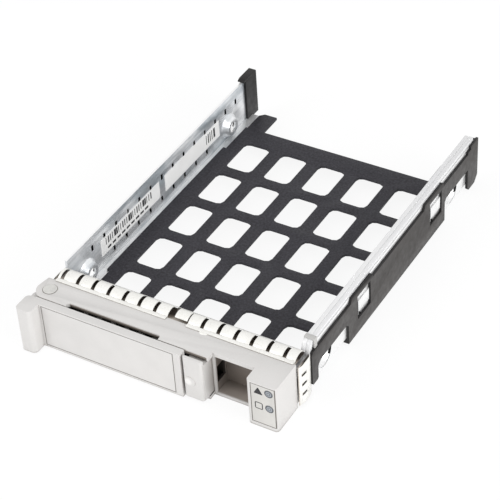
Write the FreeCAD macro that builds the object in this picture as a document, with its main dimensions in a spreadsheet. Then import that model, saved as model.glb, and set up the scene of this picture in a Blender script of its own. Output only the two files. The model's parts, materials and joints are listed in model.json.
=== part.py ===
"""Hot swap drive caddy: a tray with two side rails, a front bezel, an ejector lever and a release button.

Frame: millimetres, X to the right, Y from the front bezel to the rear, Z up. The origin lies on the top face
of the tray sheet, which is the seat of the drive, midway between the rails and on a bar of the hole grid.
"""
import FreeCAD
import Part
import math
import os
import re
import Sketcher

# Driving sizes: alias, value in millimetres (or a count, or degrees), meaning.
SIZES = [
    ("drive_wide", 69.85, "width of the drive that the caddy carries"),
    ("drive_rear", 46.8, "Y of the drive's connector face"),
    ("screw_spacing", 76.6, "distance between the two side screws of the drive"),
    ("screw_inset", 14.0, "connector face to the rear side screw"),
    ("screw_lift", 3.1, "height of the side screws above the seat"),
    ("screw_bore", 1.7, "radius of the clearance hole for a side screw"),
    ("land_gap", 0.15, "clearance between the drive and each screw dimple"),
    ("sheet_thick", 0.8, "thickness of the tray sheet"),
    ("sheet_gap", 1.8, "rail wall to the tray sheet's edge"),
    ("neck_cut", 1.0, "how much the sheet narrows beside the screw dimples"),
    ("neck_front", -37.5, "rear end of the narrow front stretch"),
    ("neck_rear", 26.2, "front end of the narrow rear stretch"),
    ("sheet_rear", 38.1, "rear edge of the tray sheet"),
    ("ear_inset", 1.6, "sheet's edge to the outer edge of its rear ears"),
    ("ear_wide", 5.6, "width of a rear ear"),
    ("ear_past", 0.5, "reach of the rear ears past the rails"),
    ("ear_corner", 1.4, "cut corner of the ears"),
    ("hole_wide", 8.7, "width of a tray hole"),
    ("hole_long", 13.1, "length of a tray hole"),
    ("hole_corner", 1.7, "corner radius of a tray hole"),
    ("hole_step_wide", 12.75, "pitch of the tray holes across"),
    ("hole_step_long", 16.52, "pitch of the tray holes along"),
    ("hole_columns", 5, "tray holes across"),
    ("hole_rows", 5, "tray holes along"),
    ("rows_ahead", 2.5, "rows of holes from the first one to the origin"),
    ("metal", 0.7, "thickness of the rail metal"),
    ("dimple_deep", 1.875, "drive's side to the inner face of a rail wall"),
    ("left_top", 13.0, "top of the left rail"),
    ("shelf_top", 11.4, "top of the right rail, which carries the light pipes"),
    ("shelf_reach", 1.9, "reach of the shelf on the right rail"),
    ("shelf_back", 3.1, "rail's front end to the shelf"),
    ("rail_seam", 0.2, "gap between the collar and the rails' ends"),
    ("rail_short", 0.8, "connector face to the rear end of the rails"),
    ("flange_reach", 5.3, "reach of the rail's bottom flange"),
    ("tongue_back", 1.3, "collar's front end to the tongue"),
    ("tongue_low", -0.3, "bottom of the tongue"),
    ("tongue_drop", 4.0, "top of the guide to the top of the tongue"),
    ("bend_radius", 0.65, "outer radius of the bottom bend"),
    ("dimple_rim", 4.0, "radius of a screw dimple at the wall"),
    ("dimple_land", 2.7, "radius of the flat land of a dimple"),
    ("slot_long", 1.0, "length of a rail slot"),
    ("slot_tall", 1.9, "height of a rail slot"),
    ("upper_slot_first", -40.4, "first slot of the upper row"),
    ("upper_slot_lift", 9.0, "height of the upper row"),
    ("upper_slot_step", 6.0, "pitch of the upper row"),
    ("upper_slots", 14, "slots in the upper row"),
    ("lower_slot_first", -30.5, "first slot of the lower row"),
    ("lower_slot_lift", 1.7, "height of the lower row"),
    ("lower_slot_step", 6.3, "pitch of the lower row"),
    ("lower_slots", 9, "slots in the lower row"),
    ("guide_thick", 0.8, "thickness of a guide"),
    ("guide_top", 10.0, "top of the guides"),
    ("guide_low", -3.0, "underside of the guides"),
    ("guide_lip", 2.2, "reach of the guide's lip under the rail"),
    ("guide_body_front", -31.8, "front end of the full height stretch"),
    ("guide_body_rear", 27.1, "rear end of the full height stretch"),
    ("bar_low", 4.4, "underside of the narrow stretches"),
    ("bar_corner", 1.0, "cut corners where the narrow stretches begin"),
    ("foot_long", 3.3, "length of the guide's front foot"),
    ("foot_sweep", 2.0, "radius of the sweep from the front foot to the bar"),
    ("foot_low", -1.1, "underside of the front foot"),
    ("block_long", 3.5, "rail's rear end to the front of the guide's block"),
    ("block_step", 1.6, "rail's rear end to the block's raised step"),
    ("block_past", 3.4, "reach of the guides past the rails"),
    ("block_low", -3.4, "underside of the rear block"),
    ("block_rise", 0.7, "height of the rear block above the guide"),
    ("block_step_rise", 1.0, "height of the block's raised step"),
    ("window_low", 1.8, "sill of the guide windows"),
    ("window_drop", 0.5, "top of the guide to the head of its windows"),
    ("window_long", 7.3, "length of a guide window"),
    ("front_window", -26.4, "front end of the front window"),
    ("rear_window", 17.5, "front end of the rear window"),
    ("hump_rise", 1.5, "height of the humps above the guide"),
    ("hump_lead", 3.2, "reach of a hump in front of its window"),
    ("hump_slope", 0.8, "length of the hump's ramps"),
    ("cap_leaf", 0.7, "thickness of the cap leaf inside the rail"),
    ("cap_long", 3.0, "reach of the cap leaf along the rail"),
    ("cap_low", -0.7, "underside of the cap leaf"),
    ("cap_rise", 1.0, "height of the left cap above the rail"),
    ("catch_gap", 0.6, "clearance round a catch in its window"),
    ("catch_rise", 0.6, "height of a catch above the wall"),
    ("catch_low", 3.6, "underside of the catches"),
    ("catch_high", 7.4, "top of the catches"),
    ("bezel_top", 11.0, "top of the bezel"),
    ("bezel_low", -4.0, "underside of the bezel"),
    ("lamp_proud", 0.7, "how far the lamp block stands out beside the collar"),
    ("top_plate", 1.4, "thickness of the bezel's top plate"),
    ("low_plate", 1.0, "thickness of the bezel's bottom plate"),
    ("nose_radius", 3.8, "radius of the plates round the pivot"),
    ("collar_front", -57.9, "front end of the rear collar"),
    ("collar_long", 5.7, "length of the rear collar"),
    ("collar_play", 0.3, "clearance between the collar and the rails"),
    ("collar_drop", 1.0, "top of the bezel to the top of the collar"),
    ("collar_lift", 0.8, "underside of the bezel to the underside of the collar"),
    ("collar_wall", 1.1, "wall of the collar and of the bezel's back"),
    ("cheek_proud", 2.4, "how far the left shoulder stands out beside the collar"),
    ("vent_start", 7.5, "pivot to the vent notch"),
    ("vent_long", 29.0, "length of the vent notch"),
    ("vent_deep", 1.6, "depth of the vent notch"),
    ("back_vent_wide", 2.2, "width of a vent in the bezel's back"),
    ("back_vent_step", 4.4, "pitch of the vents in the back"),
    ("back_vents", 9, "vents in the bezel's back"),
    ("gap_left", 16.3, "left side of the finger gap"),
    ("gap_wall", 0.8, "wall between the finger gap and the button"),
    ("gap_deep", 2.2, "depth of the finger gap in the top plate"),
    ("lip_deep", 2.2, "depth of the finger gap in the bottom plate"),
    ("lamp_wide", 8.8, "width of the lamp block"),
    ("lamp_ahead", 2.7, "reach of the lamp block ahead of the plates"),
    ("lamp_wall", 1.2, "wall of the lamp block"),
    ("lamp_round", 1.0, "rounding of the lamp block's front edges"),
    ("plaque_edge", 1.2, "margin round the lamp plaque"),
    ("plaque_deep", 0.25, "depth of the recesses for the plaques"),
    ("lamp_inset", 2.25, "right face of the bezel to the lamp lenses"),
    ("lamp_high", 8.6, "height of the upper lens"),
    ("lamp_low", 3.4, "height of the lower lens"),
    ("lens_radius", 1.0, "radius of a lens"),
    ("pipe_radius", 0.62, "half the thickness of a light pipe, which is square"),
    ("pipe_step", 1.3, "pitch of the two light pipes on the shelf"),
    ("pipe_pass", 7.9, "height of the pipes where they pass the collar"),
    ("pipe_gap", 0.03, "clearance under the light pipes"),
    ("pipe_past", 1.5, "reach of the light pipes past the rails"),
    ("passage_low", 4.8, "sill of the corner opening for the pipes"),
    ("passage_room", 0.75, "lenses to the left side of the pipes' corner opening"),
    ("clip_thick", 0.5, "thickness of the light pipe clip"),
    ("clip_long", 1.4, "length of the light pipe clip"),
    ("clip_ahead", 0.7, "reach of the clip ahead of the shelf"),
    ("pin_inset", 0.7, "side of the collar to the lever's pivot"),
    ("pin_ahead", 3.9, "collar to the lever's pivot"),
    ("pin_radius", 1.6, "radius of the pivot pin"),
    ("pin_head", 1.95, "radius of the pin's head"),
    ("pin_proud", 0.2, "height of the pin's head above the bezel"),
    ("pin_play", 0.05, "radial clearance of the lever on its pin"),
    ("hub_radius", 3.3, "radius of the lever's hub"),
    ("hub_play", 0.3, "clearance between the hub and each plate"),
    ("knuckle_radius", 2.1, "radius of the knuckle beside the hub"),
    ("knuckle_left", 2.4, "pivot to knuckle across"),
    ("knuckle_ahead", 2.2, "pivot to knuckle along"),
    ("lever_gap", 0.3, "clearance between the lever and the plates"),
    ("lever_thick", 2.4, "thickness of the lever's front plate"),
    ("lever_past", 1.7, "reach of the lever's front plate past its pivot"),
    ("button_gap", 0.4, "gap between the lever and the button"),
    ("grip_past", 4.3, "reach of the grip past the pivot"),
    ("grip_wide", 4.9, "width of the grip"),
    ("grip_ahead", 6.7, "plates to the front of the grip"),
    ("grip_behind", 0.6, "plates to the rear of the grip"),
    ("grip_round", 1.3, "rounding of the grip's upright edges"),
    ("label_inset", 0.7, "grip to the lever's label"),
    ("label_margin", 2.1, "right end of the lever to its label"),
    ("label_foot", 0.6, "underside of the lever to its label"),
    ("label_head", 0.4, "top of the lever to its label"),
    ("label_thick", 0.2, "thickness of the front labels"),
    ("hook_inset", 4.3, "right end of the lever to the hook's left side"),
    ("hook_wide", 2.6, "width of the latch hook"),
    ("hook_deep", 4.6, "reach of the latch hook between the plates"),
    ("hook_nib", 1.1, "reach of the hook's nib"),
    ("hook_low", 1.0, "underside of the latch hook"),
    ("hook_high", 6.0, "top of the latch hook"),
    ("lever_ribs", 6, "stiffening ribs behind the lever"),
    ("rib_start", 6.8, "pivot to the first rib"),
    ("rib_step", 5.6, "pitch of the ribs"),
    ("rib_thick", 1.0, "thickness of a rib"),
    ("rib_deep", 1.3, "depth of a rib"),
    ("button_wide", 5.9, "width of the release button"),
    ("button_drop", 0.5, "top of the bezel to the top of the button"),
    ("button_back", 0.2, "how far the button stands behind the lamp block's front"),
    ("button_cap", 1.0, "thickness of the button's cap"),
    ("button_round", 0.8, "rounding of the button's upright edges"),
    ("stem_deep", 3.1, "reach of the button's stem between the plates"),
    ("button_travel", 1.2, "travel of the button when it is pressed"),
    ("button_play", 0.35, "clearance of the stem between the plates"),
    ("catch_nose", 0.35, "clearance between the hook's nib and the button's catch"),
    ("dot_inset", 2.1, "button's left side to the raised dot"),
    ("dot_radius", 1.5, "radius of the raised dot on the button"),
    ("dot_rise", 0.25, "height of the raised dot"),
    ("dot_lift", 2.8, "height of the dot's centre"),
    ("button_pin", 0.9, "radius of the pin that centres the button's spring"),
    ("coil_wire", 0.4, "wire of the button's spring"),
    ("coil_radius", 1.5, "mean radius of the button's spring"),
    ("coil_turns", 5, "turns of the button's spring"),
    ("coil_play", 0.05, "clearance at each end of the button's spring"),
    ("torsion_wire", 0.45, "wire of the lever's spring"),
    ("torsion_radius", 2.2, "mean radius of the lever's spring"),
    ("torsion_turns", 2, "turns of the lever's spring"),
    ("torsion_leg", 7.0, "length of the spring's long leg"),
    ("spring_room", 0.8, "gap under the hub for the spring's leg"),
    ("strip_thick", 0.25, "thickness of the shielding strips"),
    ("strip_ramp", 0.9, "length of the ramps at the foot of a strip's arch"),
    ("strip_ramp_part", 0.5, "part of the arch's height that its ramps take"),
    ("strip_lap", 0.4, "reach of the top strip's lip over the bezel"),
    ("strip_rise", 1.9, "height of the upper strip's arch"),
    ("side_rise", 0.6, "height of the side strips' arch"),
    ("low_fold", 0.5, "thickness of the lower strip, which is folded flat"),
    ("strip_slit", 1.1, "width of the slits between fingers"),
    ("slit_back", 0.85, "collar's front end to the slits"),
    ("finger_step", 4.9, "pitch of the fingers"),
    ("left_slit_first", -5.8, "X of the first slit left of the short finger"),
    ("left_slits", 7, "slits left of the short finger"),
    ("right_slit_first", 8.75, "X of the first slit right of the short finger"),
    ("right_slits", 6, "slits right of the short finger"),
    ("short_left", 0.4, "left side of the short finger"),
    ("short_right", 4.2, "right side of the short finger"),
    ("short_back", 1.25, "collar's front end to the short finger's front"),
    ("bay_left", 2.1, "gap left of the short finger"),
    ("bay_right", 0.4, "gap right of the short finger"),
    ("stop_deep", 0.6, "reach of the bezel's stop into the bay"),
    ("stop_slot", 2.0, "depth of the slot behind the stop"),
    ("side_slots", 3, "slots in a side strip"),
    ("side_step", 3.3, "pitch of those slots"),
    ("side_slot_back", 1.0, "collar's front end to those slots"),
    ("side_slot_long", 2.1, "length of a slot in a side strip"),
    ("side_slot_tall", 0.9, "height of a slot in a side strip"),
    ("rivet_radius", 1.1, "radius of the rivets"),
    ("rivet_inset", 1.6, "tongue's front end to the rivet"),
    ("rivet_lift", 2.2, "height of the rivets"),
    ("paper", 0.12, "thickness of the paper labels"),
    ("front_paper_first", -36.6, "front end of the front paper label"),
    ("front_paper_last", -6.2, "rear end of the front paper label"),
    ("rear_paper_first", -3.2, "front end of the rear paper label"),
    ("rear_paper_last", 27.4, "rear end of the rear paper label"),
    ("paper_low", 3.0, "bottom of the paper labels"),
    ("paper_high", 8.6, "top of the paper labels"),
]

# Sizes that follow from the driving ones.
FOLLOWS = {
    "wall_inside": "drive_wide / 2 + dimple_deep",
    "sheet_half": "wall_inside - sheet_gap",
    "neck_half": "sheet_half - neck_cut",
    "ear_outer": "sheet_half - ear_inset",
    "ear_inner": "ear_outer - ear_wide",
    "flange_inside": "wall_inside - flange_reach",
    "shelf_inside": "wall_inside - shelf_reach",
    "collar_half": "wall_inside - collar_play",
    "bezel_right": "collar_half + lamp_proud",
    "cheek": "collar_half + cheek_proud",
    "lamp_left": "bezel_right - lamp_wide",
    "lamp_place": "bezel_right - lamp_inset",
    "passage_left": "lamp_place - passage_room",
    "button_right": "gap_left - gap_wall - lever_gap",
    "button_left": "button_right - button_wide",
    "lever_right": "button_left - button_gap",
    "hook_left": "lever_right - hook_inset",
    "dot_place": "button_left + dot_inset",
    "pin_place": "-(collar_half - pin_inset)",
    "lever_left": "pin_place - lever_past",
    "grip_left": "pin_place - grip_past",
    "grip_right": "grip_left + grip_wide",
    "label_left": "grip_right + label_inset",
    "label_right": "lever_right - label_margin",
    "rib_first": "pin_place + rib_start",
    "vent_left": "pin_place + vent_start",
    "vent_right": "vent_left + vent_long",
    "collar_rear": "collar_front + collar_long",
    "rail_front": "collar_rear + rail_seam",
    "sheet_front": "rail_front",
    "foot_front": "rail_front + rail_seam",
    "foot_rear": "foot_front + foot_long",
    "shelf_front": "rail_front + shelf_back",
    "pin_depth": "collar_front - pin_ahead",
    "plate_front": "pin_depth - nose_radius",
    "tongue_front": "collar_front + tongue_back",
    "rivet_depth": "tongue_front + rivet_inset",
    "lamp_front": "plate_front - lamp_ahead",
    "gap_back": "plate_front + gap_deep",
    "lip_front": "plate_front + lip_deep",
    "button_front": "lamp_front + button_back",
    "button_stem_rear": "plate_front + stem_deep",
    "hook_rear": "plate_front + hook_deep",
    "grip_front": "plate_front - grip_ahead",
    "grip_rear": "plate_front - grip_behind",
    "rail_rear": "drive_rear - rail_short",
    "pipe_rear": "rail_rear + pipe_past",
    "block_rear": "rail_rear + block_past",
    "cap_front": "rail_rear - cap_long",
    "block_front": "rail_rear - block_long",
    "block_step_front": "rail_rear - block_step",
    "ear_rear": "rail_rear + ear_past",
    "collar_top": "bezel_top - collar_drop",
    "collar_low": "bezel_low + collar_lift",
    "lever_top": "bezel_top",
    "lever_low": "bezel_low + lever_gap",
    "button_low": "bezel_low + low_plate",
    "button_top": "bezel_top - button_drop",
    "label_low": "lever_low + label_foot",
    "label_top": "lever_top - label_head",
    "cap_top": "left_top + cap_rise",
    "hump_top": "guide_top + hump_rise",
    "window_high": "guide_top - window_drop",
    "block_top": "guide_top + block_rise",
    "block_step_top": "block_top + block_step_rise",
    "tongue_high": "guide_top - tongue_drop",
}

LEFT = "-1"
RIGHT = "1"
NAME = r"[a-z][a-z_]*"
EASED = round(1 - 0.5 ** 0.5, 4)  # share of a corner's radius left at the middle of its eased side

doc = FreeCAD.newDocument("DriveCaddy")
sheet = doc.addObject("Spreadsheet::Sheet", "Sizes")
for row, (alias, value, meaning) in enumerate(SIZES, start=1):
    sheet.set(f"A{row}", alias)
    sheet.set(f"B{row}", str(value))
    sheet.setAlias(f"B{row}", alias)
    sheet.set(f"C{row}", meaning)
doc.recompute()


# ---------------------------------------------------------------- helpers

def spell(formula):
    """A formula in the sheet's aliases alone, with each following size written out."""
    def full(match):
        word = match.group(0)
        return f"({spell(FOLLOWS[word])})" if word in FOLLOWS else word
    return re.sub(NAME, full, formula)


def bind(thing, where, formula):
    """Tie a property or constraint to a formula in the sheet's aliases."""
    thing.setExpression(where, re.sub(NAME, r"Sizes.\g<0>", spell(formula)))


def size(formula):
    """The present value of a formula."""
    return float(sheet.evalExpression(spell(formula)))


def new_body(label):
    body = doc.addObject("PartDesign::Body", label)
    body.Label = label
    return body


def new_sketch(body, plane, offset="0"):
    """A sketch on one of the body's own planes, moved along its normal by a formula."""
    sketch = body.newObject("Sketcher::SketchObject", "Sketch")
    home = [item for item in body.Origin.OriginFeatures if item.Role == plane + "_Plane"]
    sketch.AttachmentSupport = [(home[0], "")]
    sketch.MapMode = "FlatFace"
    bind(sketch, "AttachmentOffset.Base.z", offset)
    return sketch


def pin_point(sketch, geometry, point, across, up):
    """Fix one point of the sketch by its two coordinates."""
    for kind, formula in (("DistanceX", across), ("DistanceY", up)):
        rule = Sketcher.Constraint(kind, -1, 1, geometry, point, size(formula))
        index = sketch.addConstraint(rule)
        bind(sketch, f"Constraints[{index}]", formula)


def draw_circle(sketch, across, up, radius):
    centre = FreeCAD.Vector(size(across), size(up), 0)
    circle = Part.Circle(centre, FreeCAD.Vector(0, 0, 1), size(radius))
    index = sketch.addGeometry(circle)
    pin_point(sketch, index, 3, across, up)
    rule = sketch.addConstraint(Sketcher.Constraint("Radius", index, size(radius)))
    bind(sketch, f"Constraints[{rule}]", radius)


def arc_between(start, end, radius, left):
    """An arc from start to end, with its centre left or right of the way."""
    chord = end - start
    middle = start + chord * 0.5
    rise = max(radius ** 2 - chord.Length ** 2 / 4, 0) ** 0.5
    side = FreeCAD.Vector(-chord.y, chord.x, 0).normalize()
    centre = middle + side * (rise if left else -rise)
    axis = FreeCAD.Vector(0, 0, 1)
    circle = Part.Circle(centre, axis, radius)
    first, last = (start, end) if left else (end, start)
    return Part.ArcOfCircle(circle, circle.parameter(first), circle.parameter(last))


def draw_outline(sketch, corners, arcs=None):
    """A closed outline. arcs maps a side's number to (radius, centre lies left of the way)."""
    arcs = arcs or {}
    spots = [FreeCAD.Vector(size(across), size(up), 0) for across, up in corners]
    count = len(corners)
    ends = []
    for side in range(count):
        start, end = spots[side], spots[(side + 1) % count]
        if side in arcs:
            radius, left = arcs[side]
            index = sketch.addGeometry(arc_between(start, end, size(radius), left))
            rule = sketch.addConstraint(Sketcher.Constraint("Radius", index, size(radius)))
            bind(sketch, f"Constraints[{rule}]", radius)
            ends.append((index, 1, 2) if left else (index, 2, 1))
        else:
            ends.append((sketch.addGeometry(Part.LineSegment(start, end)), 1, 2))
    for side in range(count):
        index, first, _ = ends[side]
        before, _, last = ends[side - 1]
        sketch.addConstraint(Sketcher.Constraint("Coincident", before, last, index, first))
        pin_point(sketch, index, first, *corners[side])


def draw_box(sketch, left, right, low, high):
    draw_outline(sketch, [(left, low), (right, low), (right, high), (left, high)])


def draw_round_box(sketch, left, right, low, high, radius):
    """A rectangle with round corners, drawn anticlockwise."""
    corners = [
        (f"({left}) + ({radius})", low),
        (f"({right}) - ({radius})", low),
        (right, f"({low}) + ({radius})"),
        (right, f"({high}) - ({radius})"),
        (f"({right}) - ({radius})", high),
        (f"({left}) + ({radius})", high),
        (left, f"({high}) - ({radius})"),
        (left, f"({low}) + ({radius})"),
    ]
    draw_outline(sketch, corners, {side: (radius, True) for side in (1, 3, 5, 7)})


def draw_eased_box(sketch, left, right, low, high, ease):
    """A rectangle with two short sides across each corner, close to a round corner."""
    near = f"({ease}) * {EASED}"
    draw_outline(sketch, [
        (f"{left} + {ease}", low),
        (f"{right} - {ease}", low),
        (f"{right} - {near}", f"{low} + {near}"),
        (right, f"{low} + {ease}"),
        (right, f"{high} - {ease}"),
        (f"{right} - {near}", f"{high} - {near}"),
        (f"{right} - {ease}", high),
        (f"{left} + {ease}", high),
        (f"{left} + {near}", f"{high} - {near}"),
        (left, f"{high} - {ease}"),
        (left, f"{low} + {ease}"),
        (f"{left} + {near}", f"{low} + {near}"),
    ])


def feature(body, kind, sketch, length, backwards):
    made = body.newObject("PartDesign::" + kind, kind)
    made.Profile = sketch
    bind(made, "Length", length)
    made.Reversed = backwards
    doc.recompute()
    return made


def pad(body, sketch, length, backwards=False):
    """Material along the sketch's normal, or against it."""
    return feature(body, "Pad", sketch, length, backwards)


def pocket(body, sketch, length, backwards=False):
    """A cut against the sketch's normal, or along it."""
    before = body.Shape.Volume
    made = feature(body, "Pocket", sketch, length, backwards)
    if made.Shape.Volume > before - 1e-3:
        raise RuntimeError(f"{body.Label}: {made.Name} cuts nothing")
    return made


def repeat(body, originals, axis, length, count):
    """Copies of features in a row, along an axis of the first one's sketch."""
    row = body.newObject("PartDesign::LinearPattern", "Row")
    row.Originals = originals
    row.Direction = (originals[0].Profile[0], [axis])
    bind(row, "Length", length)
    bind(row, "Occurrences", count)
    body.Tip = row
    doc.recompute()
    return row


def upright_edges(shape, places):
    """Names of the upright edges that stand at the given places."""
    names = []
    for number, edge in enumerate(shape.Edges, start=1):
        ends = [vertex.Point for vertex in edge.Vertexes]
        if len(ends) != 2 or abs(ends[0].z - ends[1].z) < 0.5:
            continue
        if abs(ends[0].x - ends[1].x) + abs(ends[0].y - ends[1].y) > 1e-4:
            continue
        if any(abs(ends[0].x - x) + abs(ends[0].y - y) < 1e-3 for x, y in places):
            names.append(f"Edge{number}")
    return names


def round_edges(body, names, radius, kind="Fillet"):
    base = body.Tip
    made = body.newObject("PartDesign::" + kind, kind)
    made.Base = (base, names)
    bind(made, "Size" if kind == "Chamfer" else "Radius", radius)
    doc.recompute()
    return made


def outward(side, formula):
    """A distance from the centre plane towards one side."""
    return f"{side} * ({formula})"


# ---------------------------------------------------------------- tray

def tray_sheet():
    """The perforated sheet that the drive lies on, with two ears at its rear."""
    body = new_body("base_sheet")
    half = [
        ("neck_half", "sheet_front"),
        ("neck_half", "neck_front"),
        ("sheet_half", "neck_front"),
        ("sheet_half", "neck_rear"),
        ("neck_half", "neck_rear"),
        ("neck_half", "sheet_rear"),
        ("ear_outer", "sheet_rear"),
        ("ear_outer", "ear_rear - ear_corner"),
        ("ear_outer - ear_corner", "ear_rear"),
        ("ear_inner", "ear_rear"),
        ("ear_inner", "sheet_rear"),
    ]
    mirrored = [(outward(LEFT, across), along) for across, along in reversed(half)]
    outline = new_sketch(body, "XY")
    draw_outline(outline, half + mirrored)
    pad(body, outline, "sheet_thick", backwards=True)

    first = ("-(hole_columns - 1) / 2 * hole_step_wide", "-rows_ahead * hole_step_long")
    hole = new_sketch(body, "XY")
    draw_eased_box(
        hole,
        f"{first[0]} - hole_wide / 2",
        f"{first[0]} + hole_wide / 2",
        f"{first[1]} - hole_long / 2",
        f"{first[1]} + hole_long / 2",
        "hole_corner",
    )
    cut = pocket(body, hole, "sheet_thick")
    grid = body.newObject("PartDesign::MultiTransform", "Grid")
    grid.Originals = [cut]
    steps = []
    ways = (
        ("H_Axis", "hole_step_wide", "hole_columns"),
        ("V_Axis", "hole_step_long", "hole_rows"),
    )
    for axis, pitch, count in ways:
        step = body.newObject("PartDesign::LinearPattern", "Step")
        step.Direction = (hole, [axis])
        bind(step, "Length", f"({count} - 1) * {pitch}")
        bind(step, "Occurrences", count)
        steps.append(step)
    grid.Transformations = steps
    body.Tip = grid
    doc.recompute()
    return body


# ---------------------------------------------------------------- rails

def dimple(body, side):
    """The two screw dimples: cones pressed inwards, each with a flat land and a hole."""
    rear = "drive_rear - screw_inset"
    opening = new_sketch(body, "YZ", outward(side, "wall_inside"))
    draw_circle(opening, rear, "screw_lift", "dimple_rim - metal / 4")
    hole = pocket(body, opening, "metal", backwards=(side == RIGHT))
    land = "drive_wide / 2 + land_gap"
    section = new_sketch(body, "XY", "screw_lift")
    draw_outline(section, [
        (outward(side, "wall_inside + metal"), f"{rear} + dimple_rim"),
        (outward(side, f"{land} + metal"), f"{rear} + dimple_land"),
        (outward(side, f"{land} + metal"), f"{rear} + screw_bore"),
        (outward(side, land), f"{rear} + screw_bore"),
        (outward(side, land), f"{rear} + dimple_land"),
        (outward(side, "wall_inside"), f"{rear} + dimple_rim"),
    ])
    axis = sketch_line(section, ("0", rear), ("wall_inside", rear))
    cone = body.newObject("PartDesign::Revolution", "Cone")
    cone.Profile = section
    cone.ReferenceAxis = (section, [axis])
    cone.Angle = 360
    doc.recompute()
    row = body.newObject("PartDesign::LinearPattern", "ScrewPair")
    row.Originals = [hole, cone]
    row.Direction = (opening, ["H_Axis"])
    row.Reversed = True
    bind(row, "Length", "screw_spacing")
    row.Occurrences = 2
    body.Tip = row
    doc.recompute()


def sketch_line(sketch, start, end):
    """A construction line that a revolution turns about."""
    points = [FreeCAD.Vector(size(across), size(up), 0) for across, up in (start, end)]
    index = sketch.addGeometry(Part.LineSegment(*points), True)
    pin_point(sketch, index, 1, *start)
    pin_point(sketch, index, 2, *end)
    return "Axis0"


def slot_row(body, side, first, lift, step, count):
    """A row of small upright slots through the wall."""
    slot = new_sketch(body, "YZ", outward(side, "wall_inside"))
    draw_box(
        slot,
        f"{first} - slot_long / 2",
        f"{first} + slot_long / 2",
        f"{lift} - slot_tall / 2",
        f"{lift} + slot_tall / 2",
    )
    cut = pocket(body, slot, "metal", backwards=(side == RIGHT))
    repeat(body, [cut], "H_Axis", f"({count} - 1) * {step}", count)


def rail(label, side, top):
    """A folded side rail: wall, bottom flange, front tongue, screw dimples, slots and catches."""
    body = new_body(label)
    right = side == RIGHT
    wall = new_sketch(body, "YZ", outward(side, "wall_inside"))
    floor = "-sheet_thick - metal"
    step_y = "shelf_front" if right else "rail_front"
    draw_outline(wall, [
        ("rail_front", floor),
        ("rail_rear", floor),
        ("rail_rear", top),
        (step_y, top),
        (step_y, "tongue_high"),
        ("tongue_front", "tongue_high"),
        ("tongue_front", "tongue_low"),
        ("rail_front", "tongue_low"),
    ])
    pad(body, wall, "metal", backwards=not right)

    flange = new_sketch(body, "XY", floor)
    draw_outline(flange, [
        (outward(side, "wall_inside + metal"), "rail_front"),
        (outward(side, "wall_inside + metal"), "rail_rear"),
        (outward(side, "flange_inside + metal"), "rail_rear"),
        (outward(side, "flange_inside"), "rail_rear - metal"),
        (outward(side, "flange_inside"), "rail_front + metal"),
        (outward(side, "flange_inside + metal"), "rail_front"),
    ])
    pad(body, flange, "metal")
    round_edges(body, bend_edges(body.Shape, size(floor)), "bend_radius")

    if right:
        shelf = new_sketch(body, "XY", "shelf_top - metal")
        draw_box(shelf, "shelf_inside", "wall_inside + metal", "shelf_front", "rail_rear")
        pad(body, shelf, "metal")

    dimple(body, side)
    slot_row(body, side, "upper_slot_first", "upper_slot_lift", "upper_slot_step", "upper_slots")
    slot_row(body, side, "lower_slot_first", "lower_slot_lift", "lower_slot_step", "lower_slots")

    for window in ("front_window", "rear_window"):
        catch = new_sketch(body, "YZ", outward(side, "wall_inside + metal"))
        draw_box(
            catch,
            f"{window} + catch_gap",
            f"{window} + window_long - catch_gap",
            "catch_low",
            "catch_high",
        )
        pad(body, catch, "catch_rise", backwards=not right)

    hole = new_sketch(body, "YZ", outward(side, "wall_inside"))
    draw_circle(hole, "rivet_depth", "rivet_lift", "rivet_radius")
    pocket(body, hole, "metal", backwards=right)
    return body


def bend_edges(shape, floor):
    """The long bottom edge on the outside of the fold."""
    names = []
    outer = size("wall_inside + metal")
    for number, edge in enumerate(shape.Edges, start=1):
        ends = [vertex.Point for vertex in edge.Vertexes]
        if all(abs(abs(end.x) - outer) < 1e-4 and abs(end.z - floor) < 1e-4 for end in ends):
            names.append(f"Edge{number}")
    return names


# ---------------------------------------------------------------- guides

def guide_outline():
    """The guide's side view as (Y, Z) corners, from the foot round to the rear block."""
    corners = [
        ("foot_front", "foot_low + bar_corner / 2"),
        ("foot_front + bar_corner / 2", "foot_low"),
        ("foot_rear - bar_corner / 2", "foot_low"),
        ("foot_rear", "foot_low + bar_corner / 2"),
        ("foot_rear", "bar_low - foot_sweep"),
        ("foot_rear + foot_sweep", "bar_low"),
        ("guide_body_front - bar_corner", "bar_low"),
        ("guide_body_front", "bar_low - bar_corner"),
        ("guide_body_front", "guide_low"),
        ("guide_body_rear", "guide_low"),
        ("guide_body_rear", "bar_low - bar_corner"),
        ("guide_body_rear + bar_corner", "bar_low"),
        ("block_front", "bar_low"),
        ("block_front", "block_low + bar_corner"),
        ("block_front + bar_corner", "block_low"),
        ("block_rear - bar_corner * 2", "block_low"),
        ("block_rear", "block_low + bar_corner * 2"),
        ("block_rear", "block_step_top"),
        ("block_step_front", "block_step_top"),
        ("block_step_front", "block_top"),
        ("block_front", "block_top"),
        ("block_front", "guide_top"),
    ]
    for window in ("rear_window", "front_window"):
        corners += [
            (f"{window} + window_long + hump_slope * 2", "guide_top"),
            (f"{window} + window_long + hump_slope", "hump_top"),
            (f"{window} - hump_lead", "hump_top"),
            (f"{window} - hump_lead - hump_slope", "guide_top"),
        ]
    corners += [
        ("foot_front + bar_corner", "guide_top"),
        ("foot_front", "guide_top - bar_corner"),
    ]
    return corners


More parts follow.
